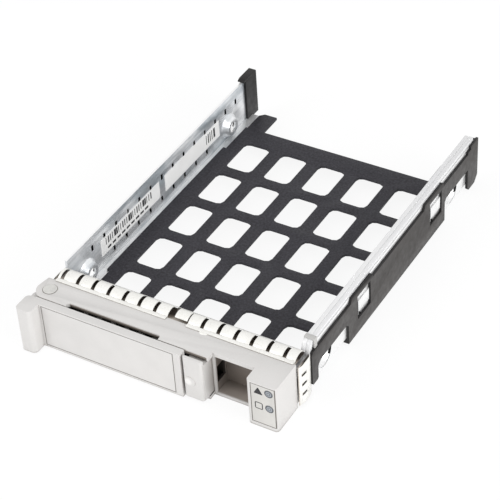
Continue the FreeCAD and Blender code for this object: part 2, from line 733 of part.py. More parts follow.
def guide(label, side, leaf_top, end_top):
    """A moulded slide on the outside of a rail, capping its rear end."""
    body = new_body(label)
    right = side == RIGHT
    face = outward(side, "wall_inside + metal")
    outline = new_sketch(body, "YZ", face)
    draw_outline(outline, guide_outline(), {4: ("foot_sweep", False)})
    pad(body, outline, "guide_thick", backwards=not right)

    windows = new_sketch(body, "YZ", face)
    for window in ("front_window", "rear_window"):
        draw_box(windows, window, f"{window} + window_long", "window_low", "window_high")
    pocket(body, windows, "guide_thick", backwards=right)

    lip = new_sketch(body, "YZ", face)
    draw_box(lip, "guide_body_front", "guide_body_rear", "guide_low", "-sheet_thick - metal - catch_gap / 6")
    pad(body, lip, "guide_lip", backwards=right)

    end = new_sketch(body, "YZ", face)
    draw_box(end, "rail_rear + catch_gap / 6", "block_rear", "block_low + bar_corner * 2", end_top)
    pad(body, end, "metal + cap_leaf", backwards=right)

    leaf = new_sketch(body, "YZ", outward(side, "wall_inside"))
    draw_box(leaf, "cap_front", "block_rear", "cap_low", leaf_top)
    pad(body, leaf, "cap_leaf", backwards=right)
    if not right:
        left_cap_cover(body)
    return body


def left_cap_cover(body):
    """The cover that closes the left guide's cap over the rail's top corner."""
    cover = new_sketch(body, "YZ", outward(LEFT, "wall_inside + metal + guide_thick"))
    draw_outline(cover, [
        ("cap_front - bar_corner", "left_top + catch_gap / 6"),
        ("block_rear", "left_top + catch_gap / 6"),
        ("block_rear", "cap_top - bar_corner / 2"),
        ("block_rear - bar_corner / 2", "cap_top"),
        ("cap_front", "cap_top"),
        ("cap_front - bar_corner", "cap_top - bar_corner / 2"),
    ])
    pad(body, cover, "guide_thick + metal + cap_leaf")
    cheek = new_sketch(body, "YZ", outward(LEFT, "wall_inside + metal"))
    draw_box(cheek, "block_step_front", "block_rear", "block_step_top", "cap_top - bar_corner / 2")
    pad(body, cheek, "guide_thick", backwards=True)


# ---------------------------------------------------------------- bezel

def bezel():
    """The moulded front: two plates with the mechanism between, a lamp block and a rear collar."""
    body = new_body("bezel_frame")
    outline = new_sketch(body, "XY", "bezel_low")
    draw_outline(outline, [
        ("pin_place", "plate_front"),
        ("lamp_left", "plate_front"),
        ("lamp_left", "lamp_front"),
        ("bezel_right", "lamp_front"),
        ("bezel_right", "collar_front"),
        ("-cheek", "collar_front"),
        ("pin_place - nose_radius", "pin_depth"),
    ], {6: ("nose_radius", True)})
    pad(body, outline, "bezel_top - bezel_low")
    corners = [(size("lamp_left"), size("lamp_front")), (size("bezel_right"), size("lamp_front"))]
    round_edges(body, upright_edges(body.Shape, corners), "lamp_round")

    collar = new_sketch(body, "XZ", "-collar_front")
    draw_box(collar, "-collar_half", "collar_half", "collar_low", "collar_top")
    pad(body, collar, "collar_rear - collar_front", backwards=True)

    well = new_sketch(body, "XZ", "-collar_rear")
    draw_box(
        well,
        "-collar_half + collar_wall",
        "collar_half - collar_wall",
        "collar_low + collar_wall",
        "collar_top - collar_wall",
    )
    pocket(body, well, "collar_rear - collar_front - collar_wall", backwards=True)

    cavity = new_sketch(body, "XY", "bezel_top - top_plate")
    draw_box(cavity, "-cheek * 2", "lamp_left", "plate_front * 2", "collar_front")
    pocket(body, cavity, "bezel_top - top_plate - bezel_low - low_plate")

    divider = new_sketch(body, "XY", "bezel_low + low_plate / 2")
    draw_box(divider, "gap_left - gap_wall", "gap_left", "lip_front", "collar_front")
    pad(body, divider, "bezel_top - bezel_low - low_plate / 2 - top_plate / 2")

    window = new_sketch(body, "YZ", "gap_left")
    draw_box(window, "lip_front + gap_wall", "collar_front - gap_wall", "0", "tongue_high - catch_gap")
    pocket(body, window, "gap_wall")

    cuts = new_sketch(body, "XY", "bezel_top")
    draw_round_box(
        cuts,
        "vent_left",
        "vent_right",
        "plate_front - vent_deep",
        "plate_front + vent_deep",
        "gap_wall",
    )
    pocket(body, cuts, "top_plate")
    gap = new_sketch(body, "XY", "bezel_top")
    draw_box(gap, "gap_left - gap_wall / 2", "lamp_left", "plate_front * 2", "gap_back")
    pocket(body, gap, "top_plate")
    lip = new_sketch(body, "XY", "bezel_low + low_plate")
    draw_box(lip, "gap_left - gap_wall", "lamp_left", "plate_front * 2", "lip_front")
    pocket(body, lip, "low_plate")

    lamp_room(body)
    back_vents(body)
    strip_stop(body)
    pin_hole = new_sketch(body, "XY", "bezel_top")
    draw_circle(pin_hole, "pin_place", "pin_depth", "pin_radius")
    pocket(body, pin_hole, "bezel_top - bezel_low")
    rivet_holes = new_sketch(body, "YZ", "collar_half")
    draw_circle(rivet_holes, "rivet_depth", "rivet_lift", "rivet_radius")
    pocket(body, rivet_holes, "collar_half * 2")
    return body


def lamp_room(body):
    """The hollow of the lamp block, its lens holes, its plaque recess and the way out for the pipes."""
    left = "lamp_left + lamp_wall"
    right = "bezel_right - lamp_wall"
    room = new_sketch(body, "XZ", "-(collar_front + collar_wall)")
    draw_box(room, left, right, "bezel_low + lamp_wall", "collar_top - collar_wall")
    pocket(body, room, "collar_front + collar_wall - lamp_front - lamp_wall * 1.25", backwards=True)
    head = new_sketch(body, "XZ", "-(collar_front - collar_wall)")
    draw_box(head, left, right, "collar_top - collar_wall * 2", "bezel_top - lamp_wall")
    pocket(body, head, "collar_front - collar_wall - lamp_front - lamp_wall * 1.25", backwards=True)
    lenses = new_sketch(body, "XZ", "-lamp_front")
    for lift in ("lamp_high", "lamp_low"):
        draw_circle(lenses, "lamp_place", lift, "lens_radius")
    pocket(body, lenses, "lamp_wall * 2")
    recess = new_sketch(body, "XZ", "-lamp_front")
    draw_box(
        recess,
        "lamp_left + plaque_edge",
        "bezel_right - plaque_edge / 3",
        "bezel_low + plaque_edge",
        "bezel_top - plaque_edge / 3",
    )
    pocket(body, recess, "plaque_deep")
    passage = new_sketch(body, "XZ", "-collar_rear")
    draw_box(passage, "passage_left", "collar_half * 2", "passage_low", "collar_top * 2")
    pocket(body, passage, "collar_rear - collar_front", backwards=True)


def back_vents(body):
    """A row of air vents through the bezel's back, behind the lever."""
    vent = new_sketch(body, "XZ", "-(collar_front + collar_wall)")
    draw_box(
        vent,
        "vent_left - back_vent_wide / 2",
        "vent_left + back_vent_wide / 2",
        "collar_low + collar_wall * 2",
        "collar_top - collar_wall * 2",
    )
    cut = pocket(body, vent, "collar_wall", backwards=True)
    repeat(body, [cut], "H_Axis", "(back_vents - 1) * back_vent_step", "back_vents")


def strip_stop(body):
    """The stop that the top strip's bay fits round, with a slot behind it for the short finger."""
    stop = new_sketch(body, "XY", "collar_top")
    draw_box(
        stop,
        "short_left - bay_left + pipe_gap",
        "short_right + bay_right - pipe_gap",
        "collar_front",
        "collar_front + stop_deep",
    )
    pad(body, stop, "bezel_top - collar_top")
    slot = new_sketch(body, "XY", "collar_top")
    draw_box(slot, "short_left", "short_right", "collar_front + stop_deep", "collar_front + short_back")
    pocket(body, slot, "stop_slot")


# ---------------------------------------------------------------- shielding strips

def arch_radius(rise, span):
    """The radius of an arch from its rise and its span."""
    return f"((({span}) / 2) ^ 2 + ({rise}) ^ 2) / (2 * ({rise}))"


def strip_corners(base, rise, out):
    """The section of a strip: a base leaf, folded back over itself as an arch between two ramps.

    The first coordinate runs from front to rear, the second away from the centre.
    """
    front = "collar_front"
    rear = "collar_rear + strip_thick * 2"
    leaf = f"{base} + {out} * strip_thick"
    ramp = f"{leaf} + {out} * {rise} * strip_ramp_part"
    return [
        (front, base),
        (f"{rear} - strip_thick * 2", base),
        (f"{rear} - strip_thick * 2", leaf),
        (f"{front} + strip_thick", leaf),
        (f"{front} + strip_thick + strip_ramp", ramp),
        (f"{rear} - strip_thick - strip_ramp", ramp),
        (f"{rear} - strip_thick", leaf),
        (rear, leaf),
        (f"{rear} - strip_ramp", ramp),
        (f"{front} + strip_ramp", ramp),
        (front, leaf),
    ]


def strip_arcs(rise, over):
    """The two arches of a strip's section, by the corner that each starts from."""
    span = "(collar_long + strip_thick * 2 - strip_ramp * 2)"
    arched = f"{rise} * (1 - strip_ramp_part)"
    inner = arch_radius(f"({arched} - strip_thick)", f"{span} - strip_thick * 2")
    return {4: (inner, not over), 8: (arch_radius(f"({arched})", span), over)}


def slit_rows(body, level, front, rear, reach, backwards):
    """The slits that part a strip's fingers, left and right of the short finger."""
    rows = (
        ("left_slit_first", "left_slits", True),
        ("right_slit_first", "right_slits", False),
    )
    for first, count, leftwards in rows:
        slit = new_sketch(body, "XY", level)
        draw_box(
            slit,
            f"{first} - strip_slit / 2",
            f"{first} + strip_slit / 2",
            front,
            rear,
        )
        cut = pocket(body, slit, reach, backwards=backwards)
        row = repeat(body, [cut], "H_Axis", f"({count} - 1) * finger_step", count)
        row.Reversed = leftwards


def top_strip():
    """The arched strip over the collar: fingers across the width, one of them short, in a bay of its own."""
    body = new_body("top_strip")
    section = new_sketch(body, "YZ", "-collar_half")
    draw_outline(section, strip_corners("collar_top", "strip_rise", "1"), strip_arcs("strip_rise", True))
    pad(body, section, "collar_half * 2")
    lip = new_sketch(body, "YZ", "-collar_half")
    low = "bezel_top + pipe_gap"
    draw_box(lip, "collar_front - strip_lap", "collar_front + slit_back * 0.9", low, f"{low} + strip_thick")
    pad(body, lip, "collar_half * 2")

    level = "collar_top + strip_thick * 1.5"
    front = "collar_front + slit_back"
    reach = "2 * strip_rise"
    rear = "collar_rear + strip_thick"
    slit_rows(body, level, front, rear, reach, backwards=True)
    sides = new_sketch(body, "XY", level)
    for left, right in (("short_left - bay_left", "short_left"), ("short_right", "short_right + bay_right")):
        draw_box(sides, left, right, front, rear)
    pocket(body, sides, reach, backwards=True)
    bay = new_sketch(body, "XY", "collar_top")
    draw_box(
        bay,
        "short_left - bay_left",
        "short_right + bay_right",
        "collar_front - strip_slit",
        "collar_front + short_back",
    )
    pocket(body, bay, reach, backwards=True)
    doc.recompute()
    return body


def bottom_strip():
    """The strip under the collar, folded flat, with slits between its fingers."""
    body = new_body("bottom_strip")
    leaf = new_sketch(body, "XY", "collar_low")
    draw_box(leaf, "-collar_half", "collar_half", "collar_front", "collar_rear")
    pad(body, leaf, "low_fold", backwards=True)
    level = "collar_low - strip_thick"
    rear = "collar_rear - strip_thick"
    slit_rows(body, level, "collar_front + slit_back", rear, "low_fold", backwards=False)
    doc.recompute()
    return body


def side_strip(label, side):
    """The strip beside the collar, with its fingers one above the other."""
    body = new_body(label)
    base = outward(side, "wall_inside + metal + strip_thick / 5")
    leaf = f"{base} + {side} * strip_thick"
    section = new_sketch(body, "XY", "collar_low")
    corners = [(across, along) for along, across in strip_corners(base, "side_rise", side)]
    draw_outline(section, corners, strip_arcs("side_rise", side == LEFT))
    pad(body, section, "collar_top - collar_low")
    slot = new_sketch(body, "YZ", f"{leaf} + {side} * strip_thick / 2")
    lowest = "(collar_top + collar_low) / 2 - (side_slots - 1) / 2 * side_step"
    draw_box(
        slot,
        "collar_front + side_slot_back",
        "collar_front + side_slot_back + side_slot_long",
        f"{lowest} - side_slot_tall / 2",
        f"{lowest} + side_slot_tall / 2",
    )
    cut = pocket(body, slot, "strip_rise", backwards=(side == RIGHT))
    repeat(body, [cut], "V_Axis", "(side_slots - 1) * side_step", "side_slots")
    return body


# ---------------------------------------------------------------- mechanism

def ejector_lever():
    """The lever: front plate, grip, hub on the pivot, latch hook and ribs."""
    body = new_body("ejector_lever")
    back = "plate_front - lever_gap"
    front = f"{back} - lever_thick"
    plate = new_sketch(body, "XY", "lever_low")
    draw_box(plate, "lever_left", "lever_right", front, back)
    pad(body, plate, "lever_top - lever_low")
    grip = new_sketch(body, "XY", "lever_low")
    draw_round_box(grip, "grip_left", "grip_right", "grip_front", "grip_rear", "grip_round")
    pad(body, grip, "lever_top - lever_low")

    low = "bezel_low + low_plate + spring_room"
    high = "bezel_top - top_plate - hub_play"
    hub = new_sketch(body, "XY", low)
    draw_outline(hub, [
        ("pin_place + hub_radius", "pin_depth"),
        ("pin_place", "pin_depth + hub_radius"),
        ("pin_place - hub_radius", "pin_depth"),
        ("pin_place - hub_radius", f"{back} - lever_thick / 2"),
        ("pin_place + hub_radius", f"{back} - lever_thick / 2"),
    ], {0: ("hub_radius", True), 1: ("hub_radius", True)})
    pad(body, hub, f"{high} - ({low})")
    knuckle = new_sketch(body, "XY", low)
    draw_circle(knuckle, "pin_place - knuckle_left", "pin_depth - knuckle_ahead", "knuckle_radius")
    pad(body, knuckle, f"{high} - ({low})")
    bore = new_sketch(body, "XY", low)
    draw_circle(bore, "pin_place", "pin_depth", "pin_radius + pin_play")
    pocket(body, bore, f"{high} - ({low})", backwards=True)
    seat = new_sketch(body, "XY", low)
    draw_circle(seat, "pin_place", "pin_depth", "torsion_radius + torsion_wire")
    pocket(body, seat, "torsion_wire * (torsion_turns + 1.5)", backwards=True)

    hook = new_sketch(body, "XY", "hook_low")
    tip = "hook_left + hook_wide"
    draw_outline(hook, [
        ("hook_left", f"{back} - lever_thick / 2"),
        (tip, f"{back} - lever_thick / 2"),
        (tip, "hook_rear - hook_nib * 1.5"),
        (f"{tip} + hook_nib", "hook_rear - hook_nib * 1.5"),
        (f"{tip} + hook_nib", "hook_rear - hook_nib"),
        (tip, "hook_rear"),
        ("hook_left", "hook_rear"),
    ])
    pad(body, hook, "hook_high - hook_low")
    rib = new_sketch(body, "XY", "bezel_low + low_plate + lever_gap")
    draw_box(rib, "rib_first", "rib_first + rib_thick", f"{back} - lever_thick / 2", f"{back} + rib_deep")
    made = pad(body, rib, "bezel_top - top_plate - bezel_low - low_plate - lever_gap * 2")
    repeat(body, [made], "H_Axis", "(lever_ribs - 1) * rib_step", "lever_ribs")
    recess = new_sketch(body, "XZ", f"-({front})")
    draw_box(recess, "label_left", "label_right", "label_low", "label_top")
    pocket(body, recess, "plaque_deep")
    return body


def release_button():
    """The button: a cap on a stem that slides between the plates, with a catch nose and a raised dot."""
    body = new_body("release_button")
    back = "button_front + button_cap"
    cap = new_sketch(body, "XY", "button_low")
    draw_outline(cap, [
        ("button_left + button_round", "button_front"),
        ("button_right - button_round", "button_front"),
        ("button_right", "button_front + button_round"),
        ("button_right", back),
        ("button_left", back),
        ("button_left", "button_front + button_round"),
    ], {1: ("button_round", True), 5: ("button_round", True)})
    pad(body, cap, "button_top - button_low")
    low = "bezel_low + low_plate + button_play"
    high = "bezel_top - top_plate - button_play"
    stem = new_sketch(body, "XY", low)
    draw_box(stem, "button_left + button_round", "button_right - button_round", f"{back} - button_cap / 2",
             "button_stem_rear")
    pad(body, stem, f"{high} - ({low})")
    nose = new_sketch(body, "XY", "hook_low + hook_nib")
    draw_box(
        nose,
        "hook_left + hook_wide + hook_nib + catch_nose",
        "button_left + button_round * 2",
        "hook_rear - hook_nib * 2.5",
        "hook_rear - hook_nib * 1.5 - catch_nose",
    )
    pad(body, nose, "hook_high - hook_low - hook_nib * 2")
    peg = new_sketch(body, "XZ", "-button_stem_rear")
    draw_circle(peg, "(button_left + button_right) / 2", "(bezel_top + bezel_low) / 2", "button_pin")
    pad(body, peg, "button_pin * 2", backwards=True)
    dot = new_sketch(body, "XZ", "-button_front")
    draw_circle(dot, "dot_place", "dot_lift", "dot_radius")
    pad(body, dot, "dot_rise")
    return body


def pivot_pin():
    """The lever's pivot pin, with a low head on the bezel's top plate."""
    body = new_body("lever_pin")
    shank = new_sketch(body, "XY", "bezel_low")
    draw_circle(shank, "pin_place", "pin_depth", "pin_radius")
    pad(body, shank, "bezel_top - bezel_low")
    head = new_sketch(body, "XY", "bezel_top")
    draw_circle(head, "pin_place", "pin_depth", "pin_head")
    pad(body, head, "pin_proud")
    return body


def coil(label, radius, turns, wire, pitch, leg):
    """A wire wound round the Z axis from the XY plane up, with a straight leg before its first turn."""
    steps = 8
    reach = size(radius)
    points = [FreeCAD.Vector(reach, -size(leg), 0)] if size(leg) > 0 else []
    for index in range(int(size(turns) * steps) + 1):
        angle = 2 * math.pi * index / steps
        lift = size(pitch) * index / steps
        points.append(FreeCAD.Vector(reach * math.cos(angle), reach * math.sin(angle), lift))
    along = (points[1] - points[0]).normalize()
    across = along.cross(FreeCAD.Vector(0, 0, 1)).normalize()
    upward = across.cross(along)
    corners = []
    for index in range(5):
        angle = math.pi / 2 * index
        spoke = across * math.cos(angle) + upward * math.sin(angle)
        corners.append(points[0] + spoke * size(wire) / 2)
    spring = doc.addObject("Part::Feature", label)
    spring.Shape = Part.makePolygon(points).makePipeShell([Part.makePolygon(corners)], True, False, 1)
    spring.Label = label
    return spring


def place(thing, across, along, lift, rotation=None):
    """Put an object at a point given by formulas."""
    if rotation is not None:
        thing.Placement.Rotation = rotation
    for letter, formula in (("x", across), ("y", along), ("z", lift)):
        bind(thing, "Placement.Base." + letter, formula)


def button_spring():
    """The button's spring, as short as the pressed button makes it, seated on the bezel's back."""
    front = "button_stem_rear + button_travel + coil_play"
    room = f"(collar_front - coil_play - coil_wire - ({front}))"
    spring = coil("button_spring", "coil_radius", "coil_turns", "coil_wire", f"{room} / coil_turns", "0")
    middle = "(button_left + button_right) / 2"
    height = "(bezel_top + bezel_low) / 2"
    turn = FreeCAD.Rotation(FreeCAD.Vector(1, 0, 0), -90)
    place(spring, middle, f"{front} + coil_wire / 2", height, turn)
    return spring


def lever_spring():
    """The torsion spring round the pivot. Its long leg rests on the bottom plate, under the hub."""
    spring = coil(
        "lever_spring",
        "torsion_radius",
        "torsion_turns",
        "torsion_wire",
        "torsion_wire * 1.1",
        "torsion_leg",
    )
    lift = "bezel_low + low_plate + torsion_wire / 2"
    place(spring, "pin_place", "pin_depth", lift, FreeCAD.Rotation(FreeCAD.Vector(0, 0, 1), 90))
    return spring


# ---------------------------------------------------------------- lamps

def rounded_path(points, radius):
    """Straight runs joined by tangent arcs, as large as the runs allow up to a radius."""
    runs = []
    start = points[0]
    for index in range(1, len(points) - 1):
        before, corner, after = points[index - 1], points[index], points[index + 1]
        arriving = (before - corner).normalize()
        leaving = (after - corner).normalize()
        half = arriving.getAngle(leaving) / 2
        shorter = min((before - corner).Length, (after - corner).Length)
        reach = min(radius / max(abs(math.tan(half)), 1e-6), 0.45 * shorter)
        first = corner + arriving * reach
        last = corner + leaving * reach
        inward = (arriving + leaving).normalize()
        bow = reach * math.tan(half)
        centre_gap = (bow ** 2 + reach ** 2) ** 0.5
        middle = corner + inward * (centre_gap - bow)
        runs.append(Part.LineSegment(start, first).toShape())
        runs.append(Part.Arc(first, middle, last).toShape())
        start = last
    runs.append(Part.LineSegment(start, points[-1]).toShape())
    return Part.Wire(runs)


def light_pipe(label, lift, lane, route):
    """A clear rod from a lens in the lamp block to the rear end of the right rail's shelf."""
    place_x = size("lamp_place")
    radius = size("pipe_radius")
    shelf = size("shelf_top + pipe_gap + pipe_radius")
    lens_back = FreeCAD.Vector(place_x, size("lamp_front + lamp_wall * 1.25"), size(lift))
    points = [lens_back] + [FreeCAD.Vector(*[size(formula) for formula in spot]) for spot in route]
    ramp = size("shelf_front - pipe_radius * 1.5")
    points.append(FreeCAD.Vector(size(lane), ramp, shelf))
    points.append(FreeCAD.Vector(size(lane), size("pipe_rear"), shelf))
    path = rounded_path(points, radius * 2)
    corners = [FreeCAD.Vector(across, 0, up) for across, up in ((1, 1), (-1, 1), (-1, -1), (1, -1), (1, 1))]
    section = Part.makePolygon([points[0] + corner * radius for corner in corners])
    rod = path.makePipeShell([section], True, False)
    lens_length = size("lamp_wall * 1.25 + pipe_radius")
    front = FreeCAD.Vector(place_x, size("lamp_front"), size(lift))
    lens = Part.makeCylinder(size("lens_radius"), lens_length, front, FreeCAD.Vector(0, 1, 0))
    pipe = doc.addObject("Part::Feature", label)
    pipe.Shape = lens.fuse(rod).removeSplitter()
    pipe.Label = label
    return pipe


def light_pipes():
    """The two light pipes. The upper one takes the outer lane, the lower one the inner lane."""
    outer = "wall_inside + metal - pipe_radius - pipe_gap"
    inner = f"{outer} - pipe_step"
    foot = "shelf_front - pipe_radius * 4.4"
    upper = light_pipe("upper_light_pipe", "lamp_high", outer, [
        ("lamp_place", "lamp_front + lamp_wall * 4", "lamp_high"),
        ("lamp_place", "collar_front - collar_wall * 2.4", "pipe_pass"),
        ("lamp_place", "collar_front - collar_wall * 0.6", "pipe_pass"),
        (outer, "collar_rear - collar_wall * 2.5", "pipe_pass"),
        (outer, foot, "pipe_pass"),
    ])
    lower = light_pipe("lower_light_pipe", "lamp_low", inner, [
        ("lamp_place", "lamp_front + lamp_wall * 3.5", "lamp_low"),
        ("lamp_place", "collar_front + collar_wall * 0.6", "(pipe_pass + passage_low) / 2 - pipe_gap * 15"),
        (inner, "collar_rear - collar_wall * 1.3", "pipe_pass"),
        (inner, foot, "pipe_pass"),
    ])
    return [upper, lower]


def pipe_clip():
    """A small clip that holds both light pipes down on the rail."""
    body = new_body("light_pipe_clip")
    under = "shelf_top + pipe_gap * 2 + pipe_radius * 2"
    outer = "wall_inside + metal + pipe_gap * 2"
    section = new_sketch(body, "XZ", "-(shelf_front - clip_ahead)")
    draw_outline(section, [
        ("shelf_inside + pipe_gap", under),
        (outer, under),
        (outer, "guide_top + pipe_gap"),
        (f"{outer} + clip_thick", "guide_top + pipe_gap"),
        (f"{outer} + clip_thick", f"{under} + clip_thick"),
        ("shelf_inside + pipe_gap", f"{under} + clip_thick"),
    ])
    pad(body, section, "clip_long", backwards=True)
    return body


# ---------------------------------------------------------------- labels and rivets

def lever_label():
    """The plain label set into the lever's front."""
    body = new_body("lever_label")
    outline = new_sketch(body, "XZ", "-(plate_front - lever_gap - lever_thick + plaque_deep)")
    edge = "pipe_gap * 2"
    draw_box(
        outline,
        f"label_left + {edge}",
        f"label_right - {edge}",
        f"label_low + {edge}",
        f"label_top - {edge}",
    )
    pad(body, outline, "label_thick")
    return body


def lamp_plaque():
    """The plaque on the lamp block, with a hole for each lens."""
    body = new_body("lamp_plaque")
    outline = new_sketch(body, "XZ", "-(lamp_front + plaque_deep)")
    edge = "pipe_gap * 2"
    draw_box(
        outline,
        f"lamp_left + plaque_edge + {edge}",
        f"bezel_right - plaque_edge / 3 - {edge}",
        f"bezel_low + plaque_edge + {edge}",
        f"bezel_top - plaque_edge / 3 - {edge}",
    )
    pad(body, outline, "label_thick")
    holes = new_sketch(body, "XZ", "-(lamp_front + plaque_deep)")
    for lift in ("lamp_high", "lamp_low"):
        draw_circle(holes, "lamp_place", lift, "lens_radius")
    pocket(body, holes, "plaque_deep", backwards=True)
    return body


def paper_label(label, first, last):
    """A paper label stuck to the inner face of the left rail."""
    paper = doc.addObject("Part::Box", label)
    paper.Label = label
    bind(paper, "Length", "paper")
    bind(paper, "Width", f"{last} - {first}")
    bind(paper, "Height", "paper_high - paper_low")
    place(paper, "-wall_inside", first, "paper_low")
    return paper


def rivets():
    """The flush rivets that hold the rails' tongues to the collar, one a side."""
    group = []
    for start in ("collar_half - collar_wall", "-wall_inside - metal"):
        rivet = doc.addObject("Part::Cylinder", "rivet")
        bind(rivet, "Radius", "rivet_radius")
        bind(rivet, "Height", "wall_inside + metal - collar_half + collar_wall")
        place(rivet, start, "rivet_depth", "rivet_lift", FreeCAD.Rotation(FreeCAD.Vector(0, 1, 0), 90))
        group.append(rivet)
    block = doc.addObject("Part::Compound", "collar_rivets")
    block.Links = group
    block.Label = "collar_rivets"
    return block


# ---------------------------------------------------------------- assembly

def main():
    pieces = [
        tray_sheet(),
        rail("left_rail", LEFT, "left_top"),
        rail("right_rail", RIGHT, "shelf_top"),
        guide("left_guide", LEFT, "left_top", "left_top + catch_gap / 6"),
        guide("right_guide", RIGHT, "shelf_top - metal - catch_gap / 6", "shelf_top - catch_gap / 3"),
        bezel(),
        top_strip(),
        bottom_strip(),
        side_strip("left_strip", LEFT),
        side_strip("right_strip", RIGHT),
        ejector_lever(),
        release_button(),
        pivot_pin(),
        button_spring(),
        lever_spring(),
        *light_pipes(),
        pipe_clip(),
        lever_label(),
        lamp_plaque(),
        paper_label("front_rail_label", "front_paper_first", "front_paper_last"),
        paper_label("rear_rail_label", "rear_paper_first", "rear_paper_last"),
        rivets(),
    ]
    doc.recompute()
    for item in doc.Objects:
        if "Invalid" in item.State or "Error" in item.State:
            raise RuntimeError(f"{item.Label} failed: {item.State}")
    os.makedirs("parts", exist_ok=True)
    for piece in pieces:
        shape = piece.Shape
        if shape.isNull() or not shape.isValid():
            raise RuntimeError(f"{piece.Label} has no valid shape")
        print(f"{piece.Label:20s} solids {len(shape.Solids)} volume {shape.Volume:9.2f}")
        shape.exportStep(f"parts/{piece.Label}.step")


main()
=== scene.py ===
"""Hot swap drive caddy: finishes, printed marks, small trim, light and camera."""
import json
import math

import bmesh
import bpy
from mathutils import Matrix, Quaternion, Vector


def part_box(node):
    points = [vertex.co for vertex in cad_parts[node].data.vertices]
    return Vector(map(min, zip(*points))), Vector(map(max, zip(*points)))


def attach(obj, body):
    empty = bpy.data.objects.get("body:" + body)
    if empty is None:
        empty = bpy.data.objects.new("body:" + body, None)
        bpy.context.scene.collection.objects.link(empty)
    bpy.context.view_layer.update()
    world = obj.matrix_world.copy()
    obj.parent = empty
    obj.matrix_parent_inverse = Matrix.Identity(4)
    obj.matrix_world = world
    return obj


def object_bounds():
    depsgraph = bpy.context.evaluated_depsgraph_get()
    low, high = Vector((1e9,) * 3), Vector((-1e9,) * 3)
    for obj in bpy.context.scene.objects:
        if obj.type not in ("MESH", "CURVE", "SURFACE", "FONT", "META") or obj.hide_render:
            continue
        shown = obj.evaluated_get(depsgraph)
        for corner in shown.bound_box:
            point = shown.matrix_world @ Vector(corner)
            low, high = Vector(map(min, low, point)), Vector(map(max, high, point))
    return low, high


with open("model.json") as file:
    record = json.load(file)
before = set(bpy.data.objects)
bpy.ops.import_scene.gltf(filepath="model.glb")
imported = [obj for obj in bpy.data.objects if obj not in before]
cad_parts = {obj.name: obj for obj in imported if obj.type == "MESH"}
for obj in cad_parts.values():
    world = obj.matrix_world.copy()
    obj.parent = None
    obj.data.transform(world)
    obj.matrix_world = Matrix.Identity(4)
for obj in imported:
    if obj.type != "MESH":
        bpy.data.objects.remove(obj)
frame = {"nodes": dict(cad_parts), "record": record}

MM = 0.001
cad_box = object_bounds()
nodes = frame["nodes"]


# ---------------------------------------------------------------- places on the caddy

BEZEL_LOW, BEZEL_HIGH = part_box("bezel_frame")

# The lamp block reaches ahead of the bezel's two plates, which share one front edge.
LAMP_AHEAD = 2.7 * MM
PLATE_FRONT = BEZEL_LOW.y + LAMP_AHEAD
TOP_PLATE = 1.4 * MM
EASED_EDGE = 0.45 * MM

# The room between the plates.
ROOM_BACK = BEZEL_HIGH.y - 4.8 * MM
ROOM_FLOOR = BEZEL_LOW.z + 0.95 * MM
ROOM_CEILING = BEZEL_HIGH.z - TOP_PLATE + 0.04 * MM
ROOM_RIGHT = BEZEL_HIGH.x - 0.3 * MM

# The finger gap in the top plate, beside the release button.
BUTTON_TO_GAP = 1.1 * MM
GAP_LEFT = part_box("release_button")[1].x + BUTTON_TO_GAP
GAP_DEEP = 2.2 * MM
GAP_BACK = PLATE_FRONT + GAP_DEEP
GAP_WALL = 0.85 * MM
NOTCH_DEEP = 1.9 * MM

# The button's raised dot, from the button's left side and from the tray's level.
DOT_INSET = 2.1 * MM
DOT_HEIGHT = 2.8 * MM

# The wall between the plates and the collar, and the row of louvres behind its vents.
BACK_WALL = BEZEL_LOW.y + 10.4 * MM
BACK_WALL_THICK = 1.1 * MM
VENTS_LEFT = -30.0 * MM
VENTS_LONG = 39.0 * MM

# The strips are folded, with a hidden leaf under the fingers.
STRIP_THICK = 0.25 * MM
TOP_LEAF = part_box("top_strip")[0].z + STRIP_THICK
SIDE_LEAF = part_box("right_strip")[0].x + STRIP_THICK

# The lamp lenses, from the bezel's right face and from the tray's level.
LAMP_INSET = 2.25 * MM
LENS_HEIGHTS = (8.6 * MM, 3.4 * MM)
LENS_RADIUS = 1.0 * MM
LENS_DEEP = 1.0 * MM


# ---------------------------------------------------------------- colour and material helpers

# Most of a noise texture's values lie between these two.
NOISE_SPAN = (0.3, 0.7)

# The stretch of a noise texture: even, or drawn out along the caddy's length.
EVEN = (1, 1, 1)
DRAWN_OUT = (1, 0.5, 1)
BRUSHED = (1, 0.1, 1)
STREAKED = (1, 0.06, 1)

# The sockets of a colour mix: its factor and two colours, and its result.
MIX_INPUTS = (0, 6, 7)
MIX_RESULT = 2


def srgb(text):
    """The linear colour of a hexadecimal sRGB value."""
    parts = [int(text[place:place + 2], 16) / 255 for place in (0, 2, 4)]
    return tuple(
        part / 12.92 if part <= 0.04045 else ((part + 0.055) / 1.055) ** 2.4
        for part in parts
    )


def shade(colour, factor):
    """A colour made darker or brighter by a factor."""
    return tuple(min(1.0, part * factor) for part in colour)


